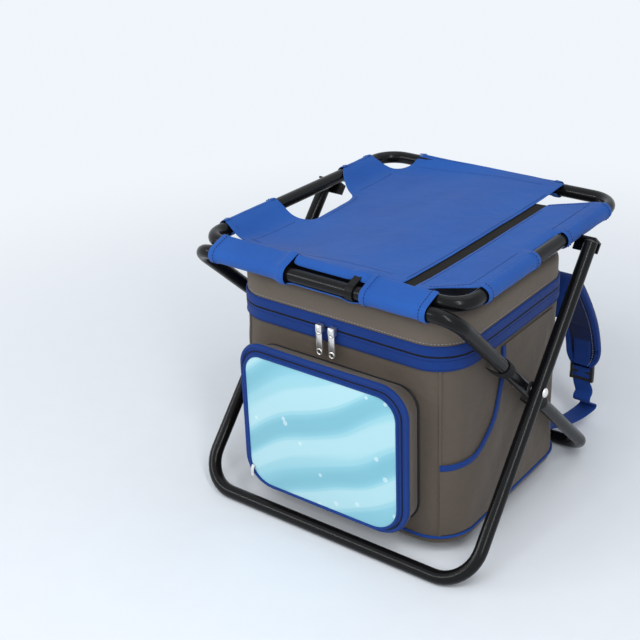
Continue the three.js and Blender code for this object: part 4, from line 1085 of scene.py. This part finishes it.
def seam_ridge(far):
    """A narrow raised strip up the wall, low at its edges."""
    rows = [[on_wall(far + aside, z, out) for aside, out in RIDGE] for z in span(31, 239, 30)]
    return cloth("corner_seam", rows, 0.9, 0)


RIDGE = ((-1.6, 0.2), (-0.8, 1.2), (0, 1.2), (0.8, 1.2), (1.6, 0.2))
FRONT_SEAM = WIDE / 2 + BAG_CORNER * math.radians(34)
REAR_SEAM = WIDE / 2 + ARC + DEEP + BAG_CORNER * math.radians(45)
corner_seams, seam_lines = [], []
for far in (FRONT_SEAM, REAR_SEAM, AROUND - REAR_SEAM, AROUND - FRONT_SEAM):
    corner_seams.append(seam_ridge(far))
    seam_lines.append([on_wall(far + 4.2, z, 0.2) for z in span(32, 238, 60)])
bag_seams = join("bag_corner_seams", *corner_seams)
dress(bag_seams, "taupe", "bag_frame", "taupe")
print("corner seams:", len(corner_seams))

# %% [markdown]
# ## Zip band, lid and base
# A blue zip tape runs round the whole opening: a wide half on the bag and a narrow half on
# the lid, with the dark coil between them. The lid is a shallow tray of the same cloth,
# painted lighter on the lid as painted light on its top. A row of pale stitches stands for
# its piping, and a round blue piping, swept along the wall, runs round the base.

# %% Zip tapes
COIL_LOW, COIL_HIGH = 255.4, 256.8
COIL_TEETH = {"pitch": 2.3, "length": 2.1, "thick": 0.7}
BAND_LOW = ((239, 0.7), (239.6, 1.6), (241.5, 1.9), (246, 1.7), (252, 1.8), (254.9, 1.9))
BAND_HIGH = ((257.3, 1.9), (261, 1.8), (265.6, 1.9), (267.4, 1.6), (268, 0.7))
band_low = cloth("zip_band_lower", [wall_ring(z, out) for z, out in BAND_LOW], 1.0, 0)
dress(band_low, "zip blue", "bag_frame", "blue", "zip_tape_lower")
band_high = cloth("zip_band_upper", [wall_ring(z, out) for z, out in BAND_HIGH], 1.0, 0)
dress(band_high, "zip blue", "lid", "blue", "zip_tape_upper")
stitches("zip_coil_lower", [wall_ring(COIL_LOW, 2.0)], "bag_frame", "plastic", "coil",
         nodes=("zip_teeth_lower",), **COIL_TEETH)
stitches("zip_coil_upper", [wall_ring(COIL_HIGH, 2.0)], "lid", "plastic", "coil",
         nodes=("zip_teeth_upper",), **COIL_TEETH)
stitches("band_stitches_lower", [wall_ring(241.0, 2.5), wall_ring(251.5, 2.3)],
         "bag_frame", "blue", "blue thread")
print("coil teeth:", 2 * round(AROUND / COIL_TEETH["pitch"]))

# %% Lid
LID_ROUND = 9
lid_rows = [wall_ring(z, SHELL_OUT) for z in (256.4, 260, 266, 272, 280, 287)]
lid_rows += [wall_ring(LID_TOP - LID_ROUND + LID_ROUND * math.sin(turn) + SHELL_OUT,
                       -LID_ROUND * (1 - math.cos(turn)) + SHELL_OUT)
             for turn in span(math.radians(15), math.radians(90), 5)]
lid_rows += [inside_plan(share, LID_TOP - 0.8, loose=1.0)
             for share in (0.86, 0.76, 0.64, 0.5, 0.34, 0.18, 0.0)]
lid_top = cloth("lid_cloth", lid_rows, 1.4, 0)
# The lid takes the lighter copy of the taupe cloth, which is painted light.
dress(lid_top, "taupe painted lighter for the lid", "lid", "taupe", "lid_shell", angle=50)
stitches("lid_stitching", [wall_ring(270.6, 0.25)], "lid", "cord", "thread",
         pitch=4.0, length=2.7, nodes=("lid_piping",))
stitches("bag_seam_stitching", seam_lines, "bag_frame", "taupe", "taupe thread")

base_route = [on_wall(far, 29.3, 1.1) for far in around[:-1]]
base_piping = sweep("base_piping", base_route, disc(1.7, 10), UP, closed=True)
dress(base_piping, "webbing", "bag_frame", "blue", "bag_base_piping", angle=80)
print("lid faces:", len(lid_top.data.polygons))

# %% [markdown]
# ## Side pockets
# Each side of the bag has a flat pocket. Its mouth is scooped at the front and bound with
# blue tape, and it starts at the corner seam. The pocket's cloth is laid a little off the
# wall by the same wall function, and the binding is a rounded strip along the mouth.

# %% Side pockets and their bindings
POCKET_REAR = 56.0
POCKET_LOW = 33
MOUTH_LOW, MOUTH_HIGH = 121.0, 234.0
MOUTH_FRONT, MOUTH_BACK = -130.0, -62.0


def mirrored(places, side):
    return [Vector((place.x * side, place.y, place.z)) for place in places]


mouth = [(far, MOUTH_LOW) for far in span(FRONT_SEAM, right_side(MOUTH_FRONT), 6)[:-1]]
mouth += [(right_side(MOUTH_FRONT + (MOUTH_BACK - MOUTH_FRONT) * math.sin(turn)),
           MOUTH_HIGH - (MOUTH_HIGH - MOUTH_LOW) * math.cos(turn))
          for turn in span(0, math.pi / 2, 18)]
behind = [(far, MOUTH_HIGH)
          for far in span(right_side(MOUTH_BACK), right_side(POCKET_REAR), 14)[1:]]


def pocket_row(far, top):
    """A column of the pocket's cloth, which stands out most at half its height."""
    return [on_wall(far, z, 1.5 + 1.2 * math.sin(math.pi * (z - POCKET_LOW) / (top - POCKET_LOW)))
            for z in span(POCKET_LOW, top, 18)]


for side, word in SIDES:
    rows = [mirrored(pocket_row(far, top), side) for far, top in mouth + behind]
    pocket = cloth("side_pocket_cloth_" + word, rows, 1.1, 0)
    dress(pocket, "taupe", "bag_frame", "taupe", "side_pocket_" + word)
    # The cut is the mouth's outline on the flat wall, worked out apart from the mesh.
    edge = mirrored([on_wall(far, z, 2.3) for far, z in mouth], side)
    facings = mirrored([Vector((*plan(far)[1], 0)) for far, _ in mouth], side)
    section = [(b, a) for a, b in strip(7.5, 2.6)]
    binding = sweep("pocket_mouth_binding_" + word, edge, section, facings)
    dress(binding, "zip blue", "bag_frame", "blue", "side_pocket_binding_" + word, angle=70)
print("side pockets: 2")

# %% [markdown]
# ## Front pocket
# The front pocket is a shallow box of taupe cloth with a zipped face. The face is the
# printed panel in a blue border. On the left and below, the border is one rolled edge. On
# the right and on top it is wider: an outer roll, a dark zip line and an inner roll.

# %% Outlines of the front pocket
BEND_POINTS = 10
RUN_POINTS = 14


def round_box(centre, half_x, half_z, radii):
    """Places (x, z) round a box, anticlockwise from its lower right corner; a radius each."""
    corners = []
    for index, (sx, sz) in enumerate(((1, -1), (1, 1), (-1, 1), (-1, -1))):
        radius = radii[index]
        x, z = centre[0] + sx * (half_x - radius), centre[1] + sz * (half_z - radius)
        bend = [turned(radius, turn) for turn in span(90 * index - 90, 90 * index, BEND_POINTS)]
        corners.append([(x + out, z + up) for out, up in bend])
    spots = []
    for index, arc in enumerate(corners):
        (x, z), (ahead_x, ahead_z) = arc[-1], corners[(index + 1) % 4][0]
        spots += arc
        spots += [(x + (ahead_x - x) * share, z + (ahead_z - z) * share)
                  for share in span(0, 1, RUN_POINTS)[1:-1]]
    return spots


FACE_Y = -195.3
FACE_MIDDLE = (0, 131)
FACE = round_box((0, 132.5), 115.5, 93.5, (42, 34, 30, 36))
PANEL_CENTRE = (-4.25, 126.75)
PANEL = round_box(PANEL_CENTRE, 105.0, 84.95, (35, 26, 24, 31))
BASE = round_box((0, 128), 107.5, 84, (30, 24, 22, 26))


def facing_ring(spots, y, shrink=0.0, centre=FACE_MIDDLE):
    """A closed row of places in the pocket's face."""
    row = []
    for x, z in spots:
        dx, dz = x - centre[0], z - centre[1]
        size = math.hypot(dx, dz)
        row.append(at(x - shrink * dx / size, y, z - shrink * dz / size))
    return row + row[:1]


def between(first, second, share):
    """An outline part of the way from one to another."""
    return [(a + (c - a) * share, b + (d - b) * share) for (a, b), (c, d) in zip(first, second)]


print("outline points:", len(FACE), len(PANEL), len(BASE))

# %% Gusset, its piping and the face
gusset_rows = [
    facing_ring(between(BASE, FACE, share), -166.5 - 27.6 * share, 1.6 * math.sin(math.pi * share))
    for share in span(0, 1, 7)]
gusset_rows += [facing_ring(FACE, -195.0, shrink) for shrink in (1.5, 9)]
gusset = cloth("front_pocket_side", gusset_rows, 1.2, 0)
dress(gusset, "taupe", "bag_frame", "taupe", "front_pocket_gusset", angle=50)
piping_route = facing_ring(round_box((0, 128), 108.6, 85.2, (31, 25, 23, 27)), -168.0)[:-1]
pocket_piping = sweep("pocket_piping", piping_route, disc(1.5, 10), BACKWARDS, closed=True)
dress(pocket_piping, "coil", "bag_frame", "plastic", "front_pocket_piping", angle=80)



def crowned(share):
    """A ring of the printed panel, which is highest in its middle, at share 0."""
    row = []
    for x, z in between([PANEL_CENTRE] * (len(PANEL) + 1), PANEL + PANEL[:1], share):
        crown = 3.2 * (1 - share ** 3) + 0.7 * ripple(x, z, 0.022, 6.0) * (1 - share ** 6)
        row.append(at(x, FACE_Y - 1.4 - crown, z))
    return row


panel_rows = [crowned(share) for share in (0.0, 0.2, 0.4, 0.58, 0.72, 0.84, 0.93, 0.975, 1.0)]
print_panel = cloth("front_pocket_panel", panel_rows, 1.2, 0)
dress(print_panel, "print", "pocket_flap", "print", "pocket_flap_panel", angle=50)

border = cloth("pocket_border", [
    facing_ring(between(FACE, PANEL, share), FACE_Y - 0.9 - depth)
    for share, depth in ((0.0, 0.0), (0.2, 0.6), (0.5, 0.2), (0.8, 0.6), (1.0, 0.4))
], 1.1, 0)


def rolled(name, spots, centre, inset, width, depth, y):
    """A rolled edge of an oval section round the face."""
    section = [(a * depth / 2, b * width / 2) for a, b in disc(1, 12)]
    return sweep(name, facing_ring(spots, y, inset, centre)[:-1], section, BACKWARDS, closed=True)


outer_roll = rolled("outer_roll", FACE, FACE_MIDDLE, 2.4, 5.0, 5.4, FACE_Y - 0.6)
inner_roll = rolled("inner_roll", PANEL, PANEL_CENTRE, -0.6, 3.8, 3.6, FACE_Y - 2.0)
pocket_border = join("front_pocket_border", border, outer_roll, inner_roll)
dress(pocket_border, "zip blue", "pocket_flap", "blue", "pocket_flap_binding", angle=60)

zip_spots = between(FACE, PANEL, 0.58)
wide = [index for index, (a, b) in enumerate(zip(FACE, PANEL)) if math.dist(a, b) > 9.5]
zip_line = [at(zip_spots[i][0], FACE_Y - 2.2, zip_spots[i][1]) for i in wide]
stitches("pocket_zip_line", [zip_line], "pocket_flap", "plastic", "coil",
         pitch=2.0, length=1.9, thick=0.95)
print("zip line on the face:", round(steps(zip_line)[-1], 3), "m")

# %% [markdown]
# ## Hang loops
# The bag hangs on the inner frame by loops of black webbing, two on each side. A loop
# leaves the wall, goes round the tube and comes back. Its path lies square to the tube, so
# that the webbing's width runs along the tube, as it does on the real one.

# %% Hang loops
leg_run = Vector((0, INNER_FOOT[0] - INNER_TOP[0], INNER_FOOT[1] - INNER_TOP[1])).normalized()
leg_out = Vector((0, -leg_run.z, leg_run.y))


def loop_route(side, y):
    """From the wall to the inner leg, round it and back, square to the tube."""
    share = (y - INNER_TOP[0]) / (INNER_FOOT[0] - INNER_TOP[0])
    middle = at(side * INNER_HALF, y, INNER_TOP[1] + (INNER_FOOT[1] - INNER_TOP[1]) * share)

    def beside(inwards, outwards):
        return middle + Vector((-side * inwards, 0, 0)) * MM + leg_out * outwards * MM

    arc = [middle + (Vector((side, 0, 0)) * math.cos(turn) + leg_out * math.sin(turn)) * 8.75 * MM
           for turn in span(math.radians(90), math.radians(-90), 16)]
    return [beside(17.5, 6.2), beside(9, 8.6), *arc, beside(9, -8.6), beside(17.5, -6.5)]


for side, word in SIDES:
    for end_name, y in (("front", -93.0), ("rear", -12.0)):
        name = "hang_loop_" + end_name
        loop = sweep(name + "_cloth_" + word, loop_route(side, y), strip(17, 1.1), leg_run)
        dress(loop, "black webbing", "bag_frame", "plastic", name + "_" + word, angle=70)
print("hang loops: 4")

# %% [markdown]
# ## Shoulder straps
# Each strap is padded: foam in navy mesh, bound all round with blue tape. It starts as a
# thin rounded slab along its bowed route. The slab is remeshed evenly and blown up a little
# by the cloth solver, as foam swells its cover, and no point moves further than the cap.
# The bindings and the webbing are flat straps, so they are swept, which keeps their edges.

# %% Strap routes
STRAP_X = 120.5
SWELLING_CAP = 0.0022
SWELLING_PRESSURE = 4.0
SWELLING_FRAMES = 20
PAD_VOXEL = 0.004
# Shares of how far aside, how far out behind and how high each place is.
STRAP_SHARES = [(0, 0, .67), (0, .008, .81), (0, .09, .94), (.15, .25, .98), (.35, .43, .86),
                (.6, .68, .63), (.85, .89, .38), (1, 1.01, .12), (1, 1.01, -.07)]
WEB_SHARES = [(.9, .93, 1.0), (.95, .86, .72), (1, .85, .45), (1, .94, .15), (1.05, 1.05, -.22),
              (.95, 1.0, -.48), (.64, .76, -.6), (.36, .52, -.48), (.1, .33, -.28),
              (-.2, .14, -.05), (-.4, .02, .08), (-.46, 0, .5)]


def strap_places(side):
    return [at(side * (STRAP_X + 9 * aside), BAG_REAR + 4.8 + 87 * out, 100 + 144 * up)
            for aside, out, up in STRAP_SHARES]


def strap_frame(side):
    """Smooth places along the strap, and the way its padded face looks at each."""
    places = smoothed(strap_places(side), 6)
    faces = []
    for index, place in enumerate(places):
        before = places[max(0, index - 1)]
        after = places[min(len(places) - 1, index + 1)]
        faces.append((after - before).normalized().cross(ACROSS).normalized())
    return places, faces


def puffed(piece):
    """Blow a closed piece up with the cloth solver, and cap how far it swells."""
    modify(piece, "REMESH", mode="VOXEL", voxel_size=PAD_VOXEL)
    start = [vertex.co.copy() for vertex in piece.data.vertices]
    solver = piece.modifiers.new("Cloth", "CLOTH")
    solver.settings.use_pressure = True
    solver.settings.uniform_pressure_force = SWELLING_PRESSURE
    solver.settings.effector_weights.gravity = 0
    scene = bpy.context.scene
    for number in range(1, SWELLING_FRAMES + 1):
        scene.frame_set(number)
    pick(piece)
    bpy.ops.object.modifier_apply(modifier=solver.name)
    scene.frame_set(1)
    for vertex, place in zip(piece.data.vertices, start):
        move = vertex.co - place
        if move.length > SWELLING_CAP:
            vertex.co = place + move.normalized() * SWELLING_CAP
    modify(piece, "SMOOTH", factor=0.5, iterations=3)
    modify(piece, "SUBSURF", levels=1, render_levels=1)


print("strap length:", round(steps(strap_frame(1)[0])[-1], 3), "m")

# %% Padded straps with their bindings
for side, word in SIDES:
    places, faces = strap_frame(side)
    far = steps(places)
    rounding = [ease(0, 1, 1 - (far[-1] - spot) / 0.026) for spot in far]
    widths = [1 - 0.42 * (1 - math.sqrt(1 - share ** 2)) for share in rounding]
    pad = sweep("shoulder_strap_pad_" + word, places, strip(43, 5.5), ACROSS, widths=widths)
    puffed(pad)
    dress(pad, "navy", "bag_frame", "navy", "shoulder_strap_" + word, angle=80)
    bindings = []
    for edge in (-1, 1):
        route = [place + ACROSS * edge * (21.5 * width - 0.5) * MM
                 for place, width in zip(places, widths)]
        bindings.append(sweep("edge", route, strip(8.0, 8.8), ACROSS))
    end_route = [places[-1] + ACROSS * edge * 12.5 * MM for edge in span(-1, 1, 6)]
    patch = [place + face * 4.0 * MM for place, face in list(zip(places, faces))[-9:]]
    back = [place - face * 3.9 * MM for place, face in zip(places, faces)]
    bindings.append(sweep("edge", end_route, strip(7.5, 8.8), UP))
    bindings.append(sweep("edge", patch, strip(24, 1.6), ACROSS))
    bindings.append(sweep("edge", back, strip(40, 1.4), ACROSS, widths=widths))
    strap_edges = join("strap_binding_" + word, *bindings)
    dress(strap_edges, "zip blue", "bag_frame", "blue", angle=70)
    line = [place + (ACROSS * side * (15.8 * width) + face * 4.6) * MM
            for place, face, width in zip(places, faces, widths)]
    stitches("strap_stitches_" + word, [line], "bag_frame", "blue", "thread", thick=0.3)
print("straps: 2, puffed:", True)

# %% Webbing below the buckles
WEB_LOW = 30.9
BUCKLE_X = (-17, -12.8, -4, 4, 12.8, 17)
BUCKLE_Z = (-12, -7.5, -2.2, 2.2, 7.5, 12)


def buckle(name, centre, heading, out):
    """A bowed plate with two slots for the webbing."""
    plate = sheet(name, [[centre + Vector((x, 0, 0)) * MM + heading * z * MM
                          + out * (1.6 * (1 - (x / 17) ** 2) - 0.9 * (z > 7)) * MM
                          for x in BUCKLE_X] for z in BUCKLE_Z])

    def in_slot(face):
        place = face.center - centre
        return abs(place.x) < 12.5 * MM and 2.5 * MM < abs(place.dot(heading)) < 7.2 * MM

    enter_faces(plate, in_slot)
    bpy.ops.mesh.delete(type="FACE")
    weld(plate)
    modify(plate, "SOLIDIFY", thickness=4.6 * MM, offset=0.0)
    modify(plate, "BEVEL", width=0.9 * MM, segments=3)
    return plate


for side, word in SIDES:
    before, end = strap_places(side)[-2:]
    heading = (end - before).normalized()
    start = end + heading * 24.8 * MM
    rise = (start - ZERO).z / MM - 14 - WEB_LOW
    web = [end + heading * 2 * MM, start]
    web += [at(side * (STRAP_X + 15 * aside), BAG_REAR + 1.1 + 98 * out, WEB_LOW + rise * up)
            for aside, out, up in WEB_SHARES]
    webbing = sweep("strap_webbing_strap_" + word, smoothed(web, 6), strip(25, 1.8), ACROSS)
    dress(webbing, "webbing", "bag_frame", "blue", "strap_webbing_" + word, angle=70)
    out = heading.cross(Vector((side, 0, 0))).normalized() * -side
    plate = buckle("strap_buckle_plate_" + word, end + heading * 12.3 * MM, heading, out)
    dress(plate, "plastic", "bag_frame", "plastic", "strap_buckle_" + word)
print("buckles and webbing: 2 each")

# %% [markdown]
# ## Zip sliders and pulls
# The two sliders meet near the middle of the front. A slider is a small plated block with a
# stepped face, and its pull is a flat bar with a round, pierced end. The pull is made from
# two rings of points bridged together, which keeps the hole's rim round, and a rolled rim
# is joined to it at each end.

# %% Sliders and pulls
PULL_HALF = 4.3
PULL_HOLE = 2.75
QUARTER_TURN = (math.pi / 2, 0, 0)


def cut_pull(low, high):
    """A flat pull: an outline and a hole, bridged, then given thickness and soft edges."""
    pick()
    bpy.ops.mesh.primitive_circle_add(vertices=40, radius=1, rotation=QUARTER_TURN)
    pull = placed("plate")
    bpy.ops.object.mode_set(mode="EDIT")
    bpy.ops.mesh.duplicate()
    bpy.ops.transform.resize(value=(PULL_HOLE / PULL_HALF,) * 3)
    bpy.ops.mesh.select_all(action="SELECT")
    bpy.ops.mesh.bridge_edge_loops()
    leave()
    middle = Vector(((low.x + high.x) / 2, (low.y + high.y) / 2, low.z + PULL_HALF * MM))
    reach = high.z - middle.z
    for vertex in pull.data.vertices:
        across, up = vertex.co.x, vertex.co.z
        if vertex.co.length > 0.9 and up > 0:
            share = math.asin(min(1.0, up)) / (math.pi / 2)
            side = math.copysign(min(1.0, (1 - share) / 0.2), across) * 0.94
            vertex.co = middle + Vector((side * PULL_HALF * MM, 0, reach * min(1.0, share / 0.8)))
        else:
            vertex.co = middle + Vector((across * PULL_HALF, 0, up * PULL_HALF)) * MM
    modify(pull, "SOLIDIFY", thickness=1.5 * MM, offset=0.0)
    modify(pull, "BEVEL", width=0.3 * MM, segments=2)
    weld(pull)
    return pull


def eyelet(name, middle, radius, thick):
    """A rolled rim: a round section carried round a circle."""
    pick()
    bpy.ops.mesh.primitive_torus_add(
        major_segments=28, minor_segments=8, major_radius=radius * MM, minor_radius=thick * MM,
        location=middle, rotation=QUARTER_TURN)
    return placed(name)


def slider_body(name, low, high):
    """A block with a step inset into its face and a smaller one raised from that."""
    pick()
    bpy.ops.mesh.primitive_cube_add(size=1, location=(low + high) / 2)
    bpy.context.object.scale = high - low
    body = placed(name)
    enter_faces(body, lambda face: face.normal.y < -0.9)
    bpy.ops.mesh.inset(thickness=1.1 * MM, depth=-0.5 * MM)
    bpy.ops.mesh.inset(thickness=1.2 * MM, depth=1.0 * MM)
    leave()
    modify(body, "BEVEL", width=0.7 * MM, segments=3)
    return body


for _, word in SIDES[::-1]:
    low, high = (Vector(corner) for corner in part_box("zip_slider_" + word))
    body = slider_body("zip_slider_body_" + word, low, high)
    dress(body, "steel", "slider_" + word, "steel", "zip_slider_" + word)
    low, high = (Vector(corner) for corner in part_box("zip_pull_" + word))
    centre = Vector(((low.x + high.x) / 2, (low.y + high.y) / 2, low.z + PULL_HALF * MM))
    upper = Vector((centre.x, centre.y - 0.6 * MM, high.z - 2.6 * MM))
    pull = join("zip_pull_plate_" + word, cut_pull(low, high),
                eyelet("lower_rim", centre + Vector((0, -0.4, 0)) * MM, 3.3, 0.9),
                eyelet("upper_rim", upper, 3.0, 1.0))
    dress(pull, "steel", "pull_" + word, "steel", "zip_pull_" + word)
print("sliders and pulls: 2 each")

# %% Small pull of the pocket's zip
tag_route = smoothed([at(-104.5, -198.6, 63), at(-105.0, -200.6, 57), at(-105.2, -200.2, 49)], 4)
tag = sweep("pocket_zip_tag", tag_route, strip(4.2, 1.5), ACROSS)
dress(tag, "steel", "pocket_flap", "steel")
print("tag is on the pocket")

# %% [markdown]
# ## Floor, light and background
# The stool stands on a pale floor under plain studio light. Two long thin lamps, one on each
# side, give the tubes their narrow streaks of light. A broad one high in front lights the
# cloth, but isn't mirrored in the paint, and a weak one above softens the shadows. The world
# is white to the camera, in reflections and through cloth, and softer as a light. The floor
# turns to the same white far from the stool.

# %% Floor
WHITE_AIR = (0.87, 0.92, 0.97)
pick()
bpy.ops.mesh.primitive_plane_add(size=40, location=at(0, 0, -0.2))
floor = placed("floor")
floor_finish = Finish("Pale floor", (0.83, 0.85, 0.87), 0.75)
speck = floor_finish.cloud(30.0, 4.0)
floor_finish.feed("Base Color", floor_finish.tint(speck, (0.72, 0.765, 0.82), (0.75, 0.795, 0.85)))
glow = floor_finish.node("ShaderNodeEmission", None, {"Color": WHITE_AIR, "Strength": 1.0})
far_off = floor_finish.node("ShaderNodeVectorMath", {"operation": "LENGTH"},
                            {0: floor_finish.places()}, "Value")
fade = floor_finish.node("ShaderNodeMapRange", {"interpolation_type": "SMOOTHSTEP"},
                         {"Value": far_off, "From Min": 0.3, "From Max": 1.3})
floor_finish.blend(fade, glow)
floor.data.materials.append(floor_finish.material)
print("floor is at", round(floor.data.vertices[0].co.z, 5))

# %% Lamps and world
LAMP_AIM = Vector((0, 0, 0.2))


def lamp(name, place, width, height, power, mirrored=True):
    """A flat rectangular lamp that faces the stool, and may be kept out of reflections."""
    data = bpy.data.lights.new(name, "AREA")
    data.shape = "RECTANGLE"
    data.size = width
    data.size_y = height
    data.energy = power
    made = bpy.data.objects.new(name, data)
    bpy.context.collection.objects.link(made)
    made.visible_glossy = mirrored
    turn = (Vector(place) - LAMP_AIM).to_track_quat("Z", "Y").to_matrix().to_4x4()
    made.matrix_world = Matrix.Translation(place) @ turn


lamp("left_streak_lamp", (-1.25, -1.85, 1.25), 1.9, 0.22, 17)
lamp("right_streak_lamp", (1.55, -1.25, 1.75), 0.26, 1.9, 24)
lamp("front_lamp", (0.45, -1.9, 2.35), 1.7, 1.0, 30, mirrored=False)
lamp("top_lamp", (0.2, 0.5, 2.6), 1.8, 1.8, 8)

world = bpy.data.worlds.new("Studio")
bpy.context.scene.world = world
air = Tree(world, "Background")
air.feed("Color", (0.97, 0.98, 1.0))
air.feed("Strength", 0.44)
white_air = air.node("ShaderNodeBackground", None, {"Color": WHITE_AIR, "Strength": 1.0})
camera_ray, mirror_ray, through_ray = (
    air.node("ShaderNodeLightPath", output="Is " + kind + " Ray")
    for kind in ("Camera", "Glossy", "Transmission"))
air.blend(camera_ray.larger(mirror_ray).larger(through_ray), white_air)
bpy.context.scene.view_settings.view_transform = "Standard"
